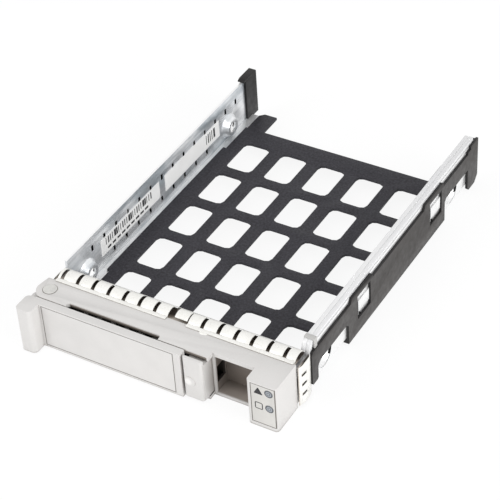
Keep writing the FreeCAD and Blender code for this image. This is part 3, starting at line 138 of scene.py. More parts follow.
class Finish:
    """A material being built: a Principled shader and the textures that feed it."""

    def __init__(self, name):
        self.material = bpy.data.materials.new(name)
        self.material.use_nodes = True
        self.tree = self.material.node_tree
        self.shader = self.tree.nodes["Principled BSDF"]
        place = self.tree.nodes.new("ShaderNodeTexCoord")
        self.coords = place.outputs["Object"]
        self.normals = place.outputs["Normal"]

    def set(self, **values):
        """Plain values on the shader's own sockets, by their names with _ for a space."""
        for name, value in values.items():
            self.shader.inputs[name.replace("_", " ")].default_value = value
        return self

    def link(self, source, target):
        self.tree.links.new(source, target)

    def feed(self, value, socket):
        """A number, a colour or another node's output into a socket."""
        if isinstance(value, (int, float)):
            socket.default_value = value
        elif isinstance(value, tuple):
            socket.default_value = (*value, 1)
        else:
            self.link(value, socket)

    def compute(self, operation, first, second=0):
        """One step of arithmetic on values."""
        node = self.tree.nodes.new("ShaderNodeMath")
        node.operation = operation
        self.feed(first, node.inputs[0])
        self.feed(second, node.inputs[1])
        return node.outputs["Value"]

    def product(self, first, *others):
        """The product of several values. For masks it is where all of them hold."""
        for other in others:
            first = self.compute("MULTIPLY", first, other)
        return first

    def without(self, value):
        """One less a value. For a mask it is where the mask doesn't hold."""
        return self.compute("SUBTRACT", 1, value)

    def mapped(self, source, low, high, first=0.0, last=1.0):
        """A value mapped from low..high to first..last, and held between them."""
        node = self.tree.nodes.new("ShaderNodeMapRange")
        node.inputs["From Min"].default_value = low
        node.inputs["From Max"].default_value = high
        node.inputs["To Min"].default_value = first
        node.inputs["To Max"].default_value = last
        self.link(source, node.inputs["Value"])
        return node.outputs["Result"]

    def inside(self, value, low, high, edge=0.05 * MM):
        """1 where a value lies between two limits, fading to 0 over a narrow edge outside them."""
        above = self.mapped(value, low - edge, low)
        below = self.mapped(value, high + edge, high)
        return self.product(above, below)

    def mix(self, factor, first, second):
        """Two colours mixed by a factor."""
        node = self.tree.nodes.new("ShaderNodeMix")
        node.data_type = "RGBA"
        for place, value in zip(MIX_INPUTS, (factor, first, second)):
            self.feed(value, node.inputs[place])
        return node.outputs[MIX_RESULT]

    def ramp(self, source, stops):
        """Colours along a value: a list of (place, colour)."""
        node = self.tree.nodes.new("ShaderNodeValToRGB")
        points = node.color_ramp.elements
        while len(points) < len(stops):
            points.new(0.5)
        for point, (place, colour) in zip(points, stops):
            point.position = place
            point.color = (*colour, 1)
        self.link(source, node.inputs["Fac"])
        return node.outputs["Color"]

    def split(self, vector, letter):
        node = self.tree.nodes.new("ShaderNodeSeparateXYZ")
        self.link(vector, node.inputs[0])
        return node.outputs[letter]

    def axis(self, letter):
        """One object coordinate, in metres."""
        return self.split(self.coords, letter)

    def facing(self, letter):
        """How squarely the surface faces along an axis of the object, from -1 to 1."""
        return self.split(self.normals, letter)

    def off_middle(self, letter="X"):
        """The distance from the origin along an axis, in metres."""
        return self.compute("ABSOLUTE", self.axis(letter))

    def facing_out(self):
        """How squarely the surface faces away from the caddy's middle, to left or right."""
        return self.product(self.compute("SIGN", self.axis("X")), self.facing("X"))

    def noise(self, size_mm, detail=3.0, roughness=0.5, stretch=EVEN):
        """Noise with grains of about that size, longer along an axis with a small stretch."""
        mapping = self.tree.nodes.new("ShaderNodeMapping")
        mapping.inputs["Scale"].default_value = stretch
        self.link(self.coords, mapping.inputs["Vector"])
        texture = self.tree.nodes.new("ShaderNodeTexNoise")
        texture.inputs["Scale"].default_value = 1 / (size_mm * MM)
        texture.inputs["Detail"].default_value = detail
        texture.inputs["Roughness"].default_value = roughness
        self.link(mapping.outputs["Vector"], texture.inputs["Vector"])
        return texture.outputs["Fac"]

    def clouds(self, noise, first, last):
        """A colour that wanders between two with the noise."""
        low, high = NOISE_SPAN
        return self.ramp(noise, [(low, first), (high, last)])

    def shaded_in_corners(self, tone, corner_shade, reach_mm, amount=0.8):
        """Painted shade: a colour that turns to a darker one in corners and slots narrower than the
        reach.
        """
        node = self.tree.nodes.new("ShaderNodeAmbientOcclusion")
        node.inputs["Distance"].default_value = reach_mm * MM
        node.samples = 8
        closed = self.mapped(node.outputs["AO"], 0.85, 0.2, 0.0, amount)
        return self.mix(closed, tone, corner_shade)

    def colour(self, source):
        self.link(source, self.shader.inputs["Base Color"])

    def gloss(self, noise, low, high):
        """Roughness that wanders between two values with the noise."""
        self.link(self.mapped(noise, *NOISE_SPAN, low, high), self.shader.inputs["Roughness"])

    def bump(self, height, strength, depth_mm):
        """Fine relief from a height value."""
        node = self.tree.nodes.new("ShaderNodeBump")
        node.inputs["Strength"].default_value = strength
        node.inputs["Distance"].default_value = depth_mm * MM
        self.link(height, node.inputs["Height"])
        self.link(node.outputs["Normal"], self.shader.inputs["Normal"])


# ---------------------------------------------------------------- finishes

# Painted shade in the bezel's hollow and finger gap, paler near the top plate.
HOLLOW_SHADE_DARK = srgb("423D39")
HOLLOW_SHADE_PALE = srgb("978E86")
GAP_SHADE_BROWN = srgb("A79E97")
GAP_SHADE_DEEP = srgb("756C65")
# Painted shade on the lever's ribs and hook behind its front plate.
LEVER_BACK_SHADE_PALE = srgb("B7B2AD")
LEVER_BACK_SHADE_DARK = srgb("67615C")
DOT_HIGHLIGHT = srgb("F6F4F2")
BUTTON_BACK_SHADE = srgb("8F8882")
BORDER_GREY = srgb("77726D")
BORDER_WIDE = 0.2 * MM


def bezel_shade_mask(finish):
    """Where shade is painted: 1 in the room between the bezel's plates and on the rear wall of its
    vent notch.
    """
    across, depth, lift = (finish.axis(letter) for letter in "XYZ")
    room = finish.product(
        finish.inside(depth, PLATE_FRONT + 0.05 * MM, ROOM_BACK),
        finish.inside(lift, ROOM_FLOOR, ROOM_CEILING),
        finish.mapped(across, ROOM_RIGHT, ROOM_RIGHT - 0.1 * MM),
    )
    wall = finish.product(
        finish.inside(depth, PLATE_FRONT - 0.1 * MM, PLATE_FRONT + NOTCH_DEEP),
        finish.inside(lift, BEZEL_HIGH.z - TOP_PLATE - 0.1 * MM, BEZEL_HIGH.z - EASED_EDGE),
        finish.mapped(across, GAP_LEFT - 0.9 * MM, GAP_LEFT - 1.0 * MM),
        finish.mapped(finish.facing("Y"), -0.8, -0.95),
    )
    return finish.compute("MAXIMUM", room, wall)


def bezel_painted_shade(finish, tone):
    """The bezel's colour with painted shade: dark in its hollow, paler near the top, and brown deep
    in the finger gap.
    The gap's left wall and front floor keep the plain colour."""
    across, depth, lift = (finish.axis(letter) for letter in "XYZ")
    in_gap = finish.mapped(across, GAP_LEFT - 0.1 * MM, GAP_LEFT + 0.1 * MM)
    corner = finish.mapped(depth, PLATE_FRONT + 4.5 * MM, PLATE_FRONT + 8.0 * MM)
    edge = finish.mapped(lift, BEZEL_HIGH.z - TOP_PLATE + 0.05 * MM, BEZEL_HIGH.z - EASED_EDGE)
    dark = finish.mix(in_gap, HOLLOW_SHADE_DARK, GAP_SHADE_BROWN)
    dark = finish.mix(finish.product(corner, in_gap), dark, GAP_SHADE_DEEP)
    dark = finish.mix(edge, dark, HOLLOW_SHADE_PALE)
    on_wall = finish.inside(across, GAP_LEFT - GAP_WALL, GAP_LEFT + 0.04 * MM)
    beyond_wall = finish.mapped(depth, GAP_BACK + 0.5 * MM, GAP_BACK + 0.6 * MM)
    front_floor = finish.mapped(depth, GAP_BACK + 0.5 * MM, GAP_BACK + 0.2 * MM)
    plain = finish.compute(
        "MAXIMUM",
        finish.product(on_wall, finish.without(beyond_wall)),
        finish.product(front_floor, in_gap),
    )
    return finish.mix(finish.product(bezel_shade_mask(finish), finish.without(plain)), tone, dark)


def lever_painted_shade(finish, tone):
    """The lever's colour with painted shade: a little darker on the ribs and hook behind its front
    plate, darkest on their upward faces.
    """
    low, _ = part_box("ejector_lever")
    _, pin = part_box("lever_pin")
    behind = finish.mapped(finish.axis("Y"), low.y + 6.45 * MM, low.y + 6.5 * MM)
    beside = finish.mapped(finish.axis("X"), pin.x + 1.5 * MM, pin.x + 3.0 * MM)
    upward = finish.mapped(finish.facing("Z"), 0.5, 0.8)
    back_shade = finish.mix(upward, LEVER_BACK_SHADE_PALE, LEVER_BACK_SHADE_DARK)
    return finish.mix(finish.product(behind, beside), tone, back_shade)


def button_highlight_and_shade(finish, tone):
    """The button's colour: a painted highlight on the top of its raised dot, and painted shade
    darker to its back.
    """
    low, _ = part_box("release_button")
    across = finish.compute("SUBTRACT", finish.axis("X"), low.x + DOT_INSET)
    up = finish.compute("SUBTRACT", finish.axis("Z"), DOT_HEIGHT)
    squares = [finish.product(side, side) for side in (across, up)]
    reach = finish.compute("SQRT", finish.compute("ADD", *squares))
    # A painted highlight on the top of the raised dot.
    tone = finish.mix(finish.mapped(reach, 1.5 * MM, 0.7 * MM), tone, DOT_HIGHLIGHT)
    # Painted shade, darker towards the button's back inside the bezel.
    behind = finish.mapped(finish.axis("Y"), low.y + 1.5 * MM, low.y + 5.5 * MM, 0.0, 0.75)
    return finish.mix(behind, tone, BUTTON_BACK_SHADE)


def painted_grey(name, place_tone=None):
    """Light warm grey of the bezel, lever and button: satin, with a fine moulded texture.
    place_tone changes the colour by place on the piece, with painted shade and a painted highlight."""
    finish = Finish(name)
    base = srgb("DEDCDA")
    tone = finish.clouds(finish.noise(14.0, 4.0), shade(base, 0.97), shade(base, 1.02))
    speck = finish.mapped(finish.noise(0.45, 2.0, 0.7), 0.35, 0.65, 0.0, 0.22)
    tone = finish.mix(speck, tone, shade(base, 0.9))
    # Painted shade in corners and narrow slots.
    tone = finish.shaded_in_corners(tone, srgb("857E77"), 1.2)
    finish.colour(place_tone(finish, tone) if place_tone else tone)
    finish.gloss(finish.noise(5.0), 0.36, 0.5)
    finish.bump(finish.noise(0.35, 2.0, 0.6), 0.12, 0.04)
    return finish.material


def plated_cream(name, letter, leaf):
    """Shielding strips: bright warm plating, with painted shade on the hidden leaf under the
    fingers, darker towards the back.
    The leaf is what lies within that distance of the origin, along the axis of that letter.
    The bottom strip lies wholly within it, and so has the leaf's painted shade all over."""
    finish = Finish(name).set(Metallic=0.2)
    base = srgb("F9F8F4")
    tone = finish.ramp(finish.noise(5.0, 4.0), [(0.25, shade(base, 0.93)), (0.6, base)])
    speck = finish.mapped(finish.noise(0.7, 3.0, 0.7), 0.5, 0.75, 0.0, 0.35)
    tone = finish.mix(speck, tone, srgb("D9D4CC"))
    # Painted shade in corners and narrow slots.
    tone = finish.shaded_in_corners(tone, srgb("8C8378"), 0.9, 0.6)
    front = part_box("top_strip")[0].y
    # Painted shade on the hidden leaf, darker towards the back.
    leaf_shade = finish.ramp(
        finish.mapped(finish.axis("Y"), front + 1.2 * MM, front + 3.4 * MM),
        [(0.0, srgb("DDD5CA")), (0.6, srgb("8F857B")), (1.0, srgb("4A433D"))],
    )
    covered = finish.mapped(finish.off_middle(letter), leaf + 0.04 * MM, leaf + 0.02 * MM)
    finish.colour(finish.mix(covered, tone, leaf_shade))
    finish.gloss(finish.noise(2.0, 4.0), 0.24, 0.4)
    finish.bump(finish.noise(1.2), 0.12, 0.03)
    return finish.material


def tray_film():
    """The tray sheet: near black film with a soft, fine grain."""
    finish = Finish("tray_film").set(Specular_IOR_Level=0.22)
    base = srgb("2E2D31")
    tone = finish.clouds(finish.noise(7.0, 5.0, 0.6), shade(base, 0.8), shade(base, 1.25))
    grain = finish.mapped(finish.noise(0.7, 2.0, 0.8), 0.35, 0.7, 0.0, 0.6)
    finish.colour(finish.mix(grain, tone, srgb("4E4D54")))
    finish.gloss(finish.noise(0.8), 0.46, 0.62)
    finish.bump(finish.noise(0.28, 2.0, 0.7), 0.25, 0.05)
    return finish.material


def guide_plastic():
    """The guides: black moulded plastic, with a painted grey sheen on the broad outer faces, and
    black edges.
    """
    finish = Finish("guide_plastic").set(Specular_IOR_Level=0.35)
    patches = finish.noise(9.0, 4.0, 0.5, DRAWN_OUT)
    # A painted sheen: the broad outer faces are grey, the edges keep the plastic's black.
    face = finish.clouds(patches, srgb("33302F"), srgb("403D3B"))
    edge = finish.clouds(patches, srgb("121111"), srgb("1C1A1A"))
    sheen_faces = finish.mapped(finish.facing_out(), 0.9, 0.99)
    finish.colour(finish.mix(sheen_faces, edge, face))
    finish.gloss(finish.noise(1.5), 0.4, 0.55)
    finish.bump(finish.noise(0.3, 2.0, 0.6), 0.2, 0.05)
    return finish.material


def zinc_plate():
    """Rails: rolled and zinc plated steel, with streaks along the rail and grey and pale patches.
    Its top edges and outer faces carry a painted highlight, and its slots are painted dark inside
    as shade."""
    finish = Finish("zinc_plate").set(Metallic=0.6)
    base = srgb("E6E9EC")
    streaks = finish.noise(1.8, 4.0, 0.6, STREAKED)
    patches = finish.noise(9.0, 3.0, 0.55, DRAWN_OUT)
    tone = finish.ramp(streaks, [(0.3, shade(base, 0.74)), (0.55, base), (0.7, srgb("F6F8F9"))])
    tone = finish.mix(finish.mapped(patches, 0.5, 0.36, 0.0, 0.75), tone, srgb("9FA9B0"))
    tone = finish.mix(finish.mapped(patches, 0.56, 0.66, 0.0, 0.8), tone, srgb("F8F9FA"))
    # Painted shade in corners and narrow slots.
    tone = finish.shaded_in_corners(tone, srgb("7C848B"), 1.6, 0.7)
    # A painted highlight: the top and outward faces are turned near white.
    outward = finish.mapped(finish.facing_out(), 0.15, 0.4)
    upward = finish.mapped(finish.facing("Z"), 0.8, 0.98)
    tone = finish.mix(finish.compute("MAXIMUM", outward, upward), tone, srgb("F8F8F8"))
    web = -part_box("front_rail_label")[0].x
    rail_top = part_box("right_rail")[1].z
    # Painted shade: the slots' walls are near black inside.
    slot_shade_mask = finish.product(
        finish.inside(finish.off_middle(), web + 0.06 * MM, web + 0.64 * MM, 0.02 * MM),
        finish.inside(finish.axis("Z"), 0.8 * MM, rail_top - 1.6 * MM),
    )
    finish.colour(finish.mix(slot_shade_mask, tone, srgb("141414")))
    finish.gloss(finish.noise(2.2, stretch=BRUSHED), 0.26, 0.42)
    finish.bump(finish.noise(0.5, stretch=STREAKED), 0.15, 0.02)
    return finish.material


def turned_steel(name, text, rough, metallic=1.0):
    """Pins, rivets and springs."""
    finish = Finish(name).set(Metallic=metallic)
    base = srgb(text)
    tone = finish.clouds(finish.noise(1.0), shade(base, 0.9), shade(base, 1.05))
    # Painted shade in corners and narrow gaps.
    finish.colour(finish.shaded_in_corners(tone, shade(base, 0.35), 0.8))
    finish.gloss(finish.noise(0.6), rough * 0.8, rough * 1.2)
    finish.bump(finish.noise(0.3, 2.0), 0.1, 0.02)
    return finish.material


def light_pipe_clear():
    """Light pipes: clear plastic that reads almost white, grey blue in the lens heads."""
    finish = Finish("light_pipe_clear").set(Transmission_Weight=0.15, IOR=1.49)
    streaks = finish.noise(2.0, 3.0, 0.6, STREAKED)
    tone = finish.clouds(streaks, shade(srgb("F8F8FA"), 0.96), srgb("FFFFFF"))
    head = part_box("upper_light_pipe")[0].y + LENS_DEEP
    behind_head = finish.mapped(finish.axis("Y"), head, head + 1.0 * MM)
    finish.colour(finish.mix(behind_head, srgb("B3B9C0"), tone))
    finish.gloss(finish.noise(3.0, 2.0), 0.12, 0.22)
    return finish.material


def moulded(name, text, rough=0.5, grain_mm=0.3, border=None):
    """A plain moulded or printed surface in one tone. The node named border has a line round it."""
    finish = Finish(name)
    base = srgb(text)
    tone = finish.clouds(finish.noise(7.0), shade(base, 0.96), shade(base, 1.02))
    if border:
        low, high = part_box(border)
        fade = 0.03 * MM
        within = [
            finish.inside(finish.axis("X"), low.x + BORDER_WIDE, high.x - BORDER_WIDE, fade),
            finish.inside(finish.axis("Z"), low.z + BORDER_WIDE, high.z - BORDER_WIDE, fade),
        ]
        tone = finish.mix(finish.product(*within), BORDER_GREY, tone)
    finish.colour(tone)
    finish.gloss(finish.noise(1.5), rough * 0.85, rough * 1.15)
    finish.bump(finish.noise(grain_mm, 2.0), 0.12, 0.03)
    return finish.material


FINISHES = {
    "bezel_grey": painted_grey("painted_grey", bezel_painted_shade),
    "strip_cream": plated_cream("plated_cream", "Z", TOP_LEAF),
    "tray_black": tray_film(),
    "guide_black": guide_plastic(),
    "rail_metal": zinc_plate(),
    "pin_metal": turned_steel("pin_steel", "DAD9D5", 0.34, 0.2),
    "spring_metal": turned_steel("spring_steel", "9A9A9A", 0.28),
    "clear_pipe": light_pipe_clear(),
    "clip_grey": moulded("clip_plastic", "C2C1BF", 0.45),
    "label_face": moulded("label_film", "DFDDDB", 0.36, 0.2, "lever_label"),
    "plaque_face": moulded("plaque_film", "D9D7D3", 0.4, 0.2, "lamp_plaque"),
    "paper_white": moulded("paper", "FCFCFB", 0.75, 0.15),
}

side_cream = plated_cream("plated_cream_side", "X", SIDE_LEAF)
OWN_FINISHES = {
    "ejector_lever": painted_grey("painted_lever", lever_painted_shade),
    "release_button": painted_grey("painted_button", button_highlight_and_shade),
    "left_strip": side_cream,
    "right_strip": side_cream,
}

slots = {row["node"]: row["material_slot"] for row in frame["record"]["subparts"]}
for name, node in nodes.items():
    node.data.materials.clear()
    node.data.materials.append(OWN_FINISHES.get(name, FINISHES[slots[name]]))


# ---------------------------------------------------------------- softened edges

# The width of each node's rounded edges, in millimetres.
EDGES = {
    "top_strip": 0.04,
    "bottom_strip": 0.04,
    "left_strip": 0.04,
    "right_strip": 0.04,
    "bezel_frame": 0.25,
    "ejector_lever": 0.3,
    "release_button": 0.25,
    "lamp_plaque": 0.05,
    "lever_label": 0.05,
    "left_guide": 0.12,
    "right_guide": 0.12,
    "base_sheet": 0.1,
    "left_rail": 0.08,
    "right_rail": 0.08,
    "upper_light_pipe": 0.35,
    "lower_light_pipe": 0.35,
    "light_pipe_clip": 0.12,
    "lever_pin": 0.12,
}


def soften(node, width_mm):
    """Round the sharp edges of a CAD node with modifiers. Its points stay where they are."""
    weld = node.modifiers.new("weld", "WELD")
    weld.merge_threshold = 1e-6
    flat = node.modifiers.new("flat_faces", "DECIMATE")
    flat.decimate_type = "DISSOLVE"
    flat.angle_limit = math.radians(1)
    bevel = node.modifiers.new("soft_edges", "BEVEL")
    bevel.width = width_mm * MM
    bevel.segments = 2
    bevel.limit_method = "ANGLE"
    bevel.angle_limit = math.radians(35)
    bevel.harden_normals = True
    for polygon in node.data.polygons:
        polygon.use_smooth = True


for name, width in EDGES.items():
    soften(nodes[name], width)


# ---------------------------------------------------------------- shapes of the small pieces

INK_THICK = 0.02 * MM


def add_piece(name, shape, finish, body="frame"):
    """A new piece from a bmesh, on a body of the caddy."""
    mesh = bpy.data.meshes.new(name)
    shape.to_mesh(mesh)
    shape.free()
    mesh.materials.append(finish)
    piece = bpy.data.objects.new(name, mesh)
    bpy.context.scene.collection.objects.link(piece)
    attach(piece, body)


def add_block(shape, low, high):
    """A box between two corners."""
    low, high = Vector(low), Vector(high)
    size = Matrix.Diagonal(high - low).to_4x4()
    bmesh.ops.create_cube(shape, size=1, matrix=Matrix.Translation((low + high) / 2) @ size)


def ahead_of(front):
    """Lays a flat shape on a face that looks forward."""
    return lambda across, up, lift: (across, front - lift, up)


def on_top_of(level):
    """Lays a flat shape on a face that looks up."""
    return lambda across, along, lift: (across, along, level + lift)


def bridge(shape, first, second):
    """A closed band of faces between two rings of as many points."""
    for index, start in enumerate(first):
        after = (index + 1) % len(first)
        shape.faces.new((start, first[after], second[after], second[index]))


def add_sheet(shape, outline, hole, lay):
    """A thin printed shape from an outline, with an optional hole of as many points."""
    def ring(points, lift):
        return [shape.verts.new(lay(first, second, lift)) for first, second in points]

    near, far = ring(outline, INK_THICK), ring(outline, 0)
    bridge(shape, near, far)
    if hole is None:
        shape.faces.new(near)
        shape.faces.new(far)
    else:
        inner_near, inner_far = ring(hole, INK_THICK), ring(hole, 0)
        bridge(shape, inner_near, inner_far)
        bridge(shape, near, inner_near)
        bridge(shape, far, inner_far)


def circle(centre, radius, count=32):
    """The points of a circle."""
    across, up = centre
    turns = [2 * math.pi * index / count for index in range(count)]
    return [(across + radius * math.cos(turn), up + radius * math.sin(turn)) for turn in turns]


def square(centre, half):
    """The corners of a square."""
    across, up = centre
    return [
        (across - half, up - half),
        (across + half, up - half),
        (across + half, up + half),
        (across - half, up + half),
    ]


def rounded(corners, radius, steps=4):
    """The points of a convex outline, anticlockwise, with its corners rounded."""
    points = []
    count = len(corners)
    for index in range(count):
        before, corner, after = (Vector(corners[(index + shift) % count]) for shift in (-1, 0, 1))
        arriving, leaving = (corner - before).normalized(), (after - corner).normalized()
        turn = arriving.angle(leaving)
        start = corner - arriving * radius * math.tan(turn / 2)
        centre = start + Vector((-arriving.y, arriving.x)) * radius
        spoke = start - centre
        for step in range(steps + 1):
            angle = turn * step / steps
            points.append(tuple(centre + Vector((
                spoke.x * math.cos(angle) - spoke.y * math.sin(angle),
                spoke.x * math.sin(angle) + spoke.y * math.cos(angle),
            ))))
    return points


def add_ring(shape, centre, inner, outer, lay):
    """A thin printed ring between two radii."""
    add_sheet(shape, circle(centre, outer), circle(centre, inner), lay)


# ---------------------------------------------------------------- printed marks and small trim

INK = moulded("ink", "2B2B2E", 0.6)

# The printed outlines beside the lenses.
ICON_REACH = 3.05 * MM
TRIANGLE_HALF = 1.35 * MM
TRIANGLE_TALL = 2.3 * MM
TRIANGLE_ROUND = 0.15 * MM
SQUARE_OUTER, SQUARE_OUTER_ROUND = 1.15 * MM, 0.45 * MM
SQUARE_INNER, SQUARE_INNER_ROUND = 0.9 * MM, 0.2 * MM

# The marks on the paper labels.
BAR_WIDTHS = [0.3 * MM, 0.7 * MM, 0.35 * MM, 0.5 * MM, 0.3 * MM, 0.9 * MM, 0.4 * MM]
BAR_STEP = 1.05 * MM
DASHES = 9
DASH_STEP = 2.4 * MM
DASH_LONG = 1.7 * MM

LOUVRES = 10
LOUVRES_LOW = -0.4 * MM
LOUVRE_STEP = 0.85 * MM
LOUVRE_THICK = 0.25 * MM
LOUVRE_DEEP = 1.3 * MM

PEG_ACROSS = 10.0 * MM
PEG_SIZE = (1.3 * MM, 0.55 * MM, 0.22 * MM)


def add_lens_rims():
    """Dark rims round the lenses: one on the plaque and two on each lens's face."""
    plaque = ahead_of(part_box("lamp_plaque")[0].y)
    lens = ahead_of(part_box("upper_light_pipe")[0].y)
    rims = bmesh.new()
    for height in LENS_HEIGHTS:
        centre = (BEZEL_HIGH.x - LAMP_INSET, height)
        add_ring(rims, centre, LENS_RADIUS * 1.01, LENS_RADIUS * 1.22, plaque)
        add_ring(rims, centre, LENS_RADIUS * 0.84, LENS_RADIUS * 1.0, lens)
        add_ring(rims, centre, LENS_RADIUS * 0.36, LENS_RADIUS * 0.52, lens)
    bmesh.ops.recalc_face_normals(rims, faces=rims.faces)
    add_piece("lens_rims", rims, moulded("rim_print", "5C6066", 0.5))


def add_lamp_icons():
    """A plain triangle beside the upper lens and a plain square outline beside the lower one."""
    plaque = ahead_of(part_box("lamp_plaque")[0].y)
    across = BEZEL_HIGH.x - LAMP_INSET - ICON_REACH
    upper, lower = LENS_HEIGHTS
    triangle = [
        (across - TRIANGLE_HALF, upper - TRIANGLE_TALL / 2),
        (across + TRIANGLE_HALF, upper - TRIANGLE_TALL / 2),
        (across, upper + TRIANGLE_TALL / 2),
    ]
    icons = bmesh.new()
    add_sheet(icons, rounded(triangle, TRIANGLE_ROUND), None, plaque)
    outer = rounded(square((across, lower), SQUARE_OUTER), SQUARE_OUTER_ROUND)
    inner = rounded(square((across, lower), SQUARE_INNER), SQUARE_INNER_ROUND)
    add_sheet(icons, outer, inner, plaque)
    bmesh.ops.recalc_face_normals(icons, faces=icons.faces)
    add_piece("lamp_icons", icons, INK)


def add_pin_outline():
    """The thin dark line round the pivot pin's head: a painted shadow."""
    low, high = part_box("lever_pin")
    centre = ((low.x + high.x) / 2, (low.y + high.y) / 2)
    radius = (high.x - low.x) / 2
    outline = bmesh.new()
    add_ring(outline, centre, radius, radius * 1.07, on_top_of(BEZEL_HIGH.z))
    bmesh.ops.recalc_face_normals(outline, faces=outline.faces)
    add_piece("pin_outline", outline, moulded("pin_shadow", "7A746E", 0.6))


def add_button_side():
    """The button's right side, between its cap and the passage through the bezel."""
    low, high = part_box("release_button")
    side = bmesh.new()
    add_block(
        side,
        (high.x - 0.9 * MM, low.y + 0.9 * MM, BEZEL_LOW.z + 1.35 * MM),
        (high.x + 0.2 * MM, GAP_BACK + 0.2 * MM, BEZEL_HIGH.z - 1.75 * MM),
    )
    add_piece("button_side", side, OWN_FINISHES["release_button"], "button")


def add_bars(name, first, last, low, high):
    """A row of plain upright bars of uneven widths on a paper label."""
    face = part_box("front_rail_label")[1].x
    bars = bmesh.new()
    for index in range(int((last - first) / BAR_STEP)):
        wide = BAR_WIDTHS[index * 3 % len(BAR_WIDTHS)]
        start = first + index * BAR_STEP
        add_block(bars, (face, start, low), (face + INK_THICK, start + wide, high))
    add_piece(name, bars, INK)


def add_dashes(low, high):
    """A row of short dashes along the foot of a paper label."""
    dashes = bmesh.new()
    for index in range(DASHES):
        start = low.y + 3.0 * MM + index * DASH_STEP
        add_block(
            dashes,
            (high.x, start, low.z + 0.9 * MM),
            (high.x + INK_THICK, start + DASH_LONG, low.z + 1.6 * MM),
        )
    add_piece("front_label_dashes", dashes, INK)


def add_label_marks():
    """Plain bars and short dashes on the front paper label, a group of bars on the rear one."""
    low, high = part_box("front_rail_label")
    first, last = low.y + 2.4 * MM, high.y - 3.4 * MM
    add_bars("front_label_bars", first, last, low.z + 2.7 * MM, high.z - 0.6 * MM)
    add_dashes(low, high)
    low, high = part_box("rear_rail_label")
    first, last = high.y - 7.6 * MM, high.y - 1.6 * MM
    add_bars("rear_label_bars", first, last, low.z + 1.4 * MM, high.z - 0.9 * MM)


def add_vent_louvres():
    """Thin louvres behind the vents in the bezel's back, which let air pass but little light."""
    front = BACK_WALL + BACK_WALL_THICK
    louvres = bmesh.new()
    for index in range(LOUVRES):
        level = LOUVRES_LOW + index * LOUVRE_STEP
        add_block(
            louvres,
            (VENTS_LEFT, front, level),
            (VENTS_LEFT + VENTS_LONG, front + LOUVRE_DEEP, level + LOUVRE_THICK),
        )
    add_piece("vent_louvres", louvres, painted_grey("painted_louvre"))


def add_strip_peg():
    """The small half round peg that shows in front of the top strip's lip."""
    peg = bmesh.new()
    bmesh.ops.create_uvsphere(peg, u_segments=32, v_segments=16, radius=1.0)
    bmesh.ops.bisect_plane(
        peg,
        geom=peg.verts[:] + peg.edges[:] + peg.faces[:],
        plane_co=(0, 0, 0),
        plane_no=(0, 0, -1),
        clear_outer=True,
    )
    bmesh.ops.holes_fill(peg, edges=peg.edges)
    place = (PEG_ACROSS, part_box("top_strip")[0].y, BEZEL_HIGH.z)
    bmesh.ops.scale(peg, vec=PEG_SIZE, verts=peg.verts)
    bmesh.ops.translate(peg, vec=place, verts=peg.verts)
    for face in peg.faces:
        is_dome = len(face.verts) < 5
        face.smooth = is_dome
    add_piece("strip_peg", peg, FINISHES["strip_cream"])


add_lens_rims()
add_lamp_icons()
add_pin_outline()
add_button_side()
add_label_marks()
add_vent_louvres()
add_strip_peg()


# ---------------------------------------------------------------- stage, light and camera

AIM = Vector((-3.2, -12.5, 0)) * MM
AZIMUTH = math.radians(32.62)
ELEVATION = math.radians(39.47)
ROLL = math.radians(-3.99)
DISTANCE = 0.5105
FOCAL = 130.7

WHITE = (1, 1, 1, 1)
WORLD_LEVEL = 0.68
LAMP_SIZE = 0.5
FLOOR_HALF = 3.0
FLOOR_BELOW = 0.05 * MM
FLOOR_WHITE = 0.9
SHADOW_SHARE = 0.13


def add_camera():
    """The camera in front of the caddy's right, looking down on it."""
    data = bpy.data.cameras.new("camera")
    data.lens = FOCAL
    data.sensor_width = 36
    data.clip_start = 0.01
    camera = bpy.data.objects.new("camera", data)
    bpy.context.scene.collection.objects.link(camera)
    level = math.cos(ELEVATION)
    direction = Vector((
        -math.sin(AZIMUTH) * level,
        math.cos(AZIMUTH) * level,
        -math.sin(ELEVATION),
    ))
    camera.location = AIM - direction * DISTANCE
    camera.rotation_mode = "QUATERNION"
    roll = Quaternion((0, 0, 1), ROLL)
    camera.rotation_quaternion = direction.to_track_quat("-Z", "Y") @ roll
    bpy.context.scene.camera = camera


def add_lamp(name, place, power):
    """A broad soft lamp that shines on the caddy's middle."""
    data = bpy.data.lights.new(name, "AREA")
    data.shape = "RECTANGLE"
    data.size = LAMP_SIZE
    data.size_y = LAMP_SIZE
    data.energy = power
    lamp = bpy.data.objects.new(name, data)
    bpy.context.scene.collection.objects.link(lamp)
    lamp.location = place
    lamp.rotation_mode = "QUATERNION"
    lamp.rotation_quaternion = (-Vector(place)).to_track_quat("-Z", "Y")


def straight_rays(tree):
    """1 for rays from the camera or a glossy or clear surface, 0 for light that is bounced on."""
    path = tree.nodes.new("ShaderNodeLightPath")
    total = path.outputs["Is Camera Ray"]
    for name in ("Is Glossy Ray", "Is Transmission Ray"):
        node = tree.nodes.new("ShaderNodeMath")
        node.operation = "MAXIMUM"
        tree.links.new(total, node.inputs[0])
        tree.links.new(path.outputs[name], node.inputs[1])
        total = node.outputs[0]
    return total


def mix_by_rays(tree, bounced, seen, output):
    """One shader for bounced light and another for what is seen."""
    mix = tree.nodes.new("ShaderNodeMixShader")
    tree.links.new(straight_rays(tree), mix.inputs["Fac"])
    tree.links.new(bounced, mix.inputs[1])
    tree.links.new(seen, mix.inputs[2])
    tree.links.new(mix.outputs[0], output)


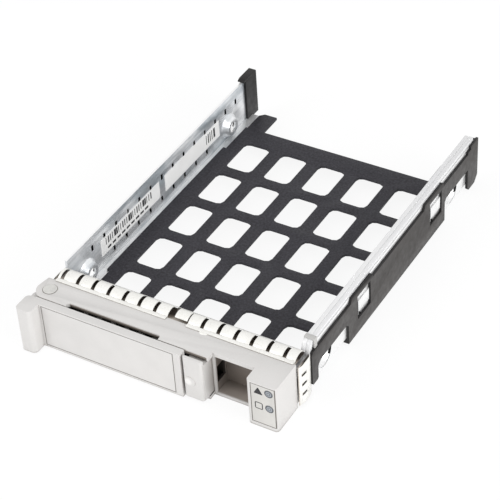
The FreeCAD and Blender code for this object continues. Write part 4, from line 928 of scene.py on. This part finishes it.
def add_world():
    """Even studio light from all round, which is seen as white."""
    world = bpy.data.worlds.new("studio")
    bpy.context.scene.world = world
    world.use_nodes = True
    tree = world.node_tree
    light = tree.nodes["Background"]
    light.inputs["Color"].default_value = WHITE
    light.inputs["Strength"].default_value = WORLD_LEVEL
    seen = tree.nodes.new("ShaderNodeBackground")
    seen.inputs["Color"].default_value = WHITE
    surface = tree.nodes["World Output"].inputs["Surface"]
    mix_by_rays(tree, light.outputs[0], seen.outputs[0], surface)


def floor_finish():
    """White that is seen nearly at its own glow, so that the caddy's shadow stays faint."""
    material = bpy.data.materials.new("floor_white")
    material.use_nodes = True
    tree = material.node_tree
    tree.nodes.remove(tree.nodes["Principled BSDF"])
    paper = tree.nodes.new("ShaderNodeBsdfDiffuse")
    paper.inputs["Color"].default_value = (FLOOR_WHITE, FLOOR_WHITE, FLOOR_WHITE, 1)
    shadowed = tree.nodes.new("ShaderNodeBsdfDiffuse")
    shadowed.inputs["Color"].default_value = (SHADOW_SHARE, SHADOW_SHARE, SHADOW_SHARE, 1)
    glow = tree.nodes.new("ShaderNodeEmission")
    glow.inputs["Strength"].default_value = 1 - SHADOW_SHARE * 0.85
    both = tree.nodes.new("ShaderNodeAddShader")
    tree.links.new(shadowed.outputs[0], both.inputs[0])
    tree.links.new(glow.outputs[0], both.inputs[1])
    surface = tree.nodes["Material Output"].inputs["Surface"]
    mix_by_rays(tree, paper.outputs[0], both.outputs[0], surface)
    return material


def add_floor(level):
    """A wide white floor, with a faint shadow of the caddy."""
    mesh = bpy.data.meshes.new("floor")
    shape = bmesh.new()
    bmesh.ops.create_grid(shape, x_segments=1, y_segments=1, size=FLOOR_HALF)
    shape.to_mesh(mesh)
    shape.free()
    mesh.materials.append(floor_finish())
    floor = bpy.data.objects.new("floor", mesh)
    bpy.context.scene.collection.objects.link(floor)
    floor.location.z = level


add_camera()
add_world()
add_floor(cad_box[0].z - FLOOR_BELOW)
add_lamp("key", (-0.45, -0.75, 0.45), 2.6)
add_lamp("fill", (0.85, -0.25, 0.35), 3.9)
bpy.context.scene.view_settings.view_transform = "Standard"
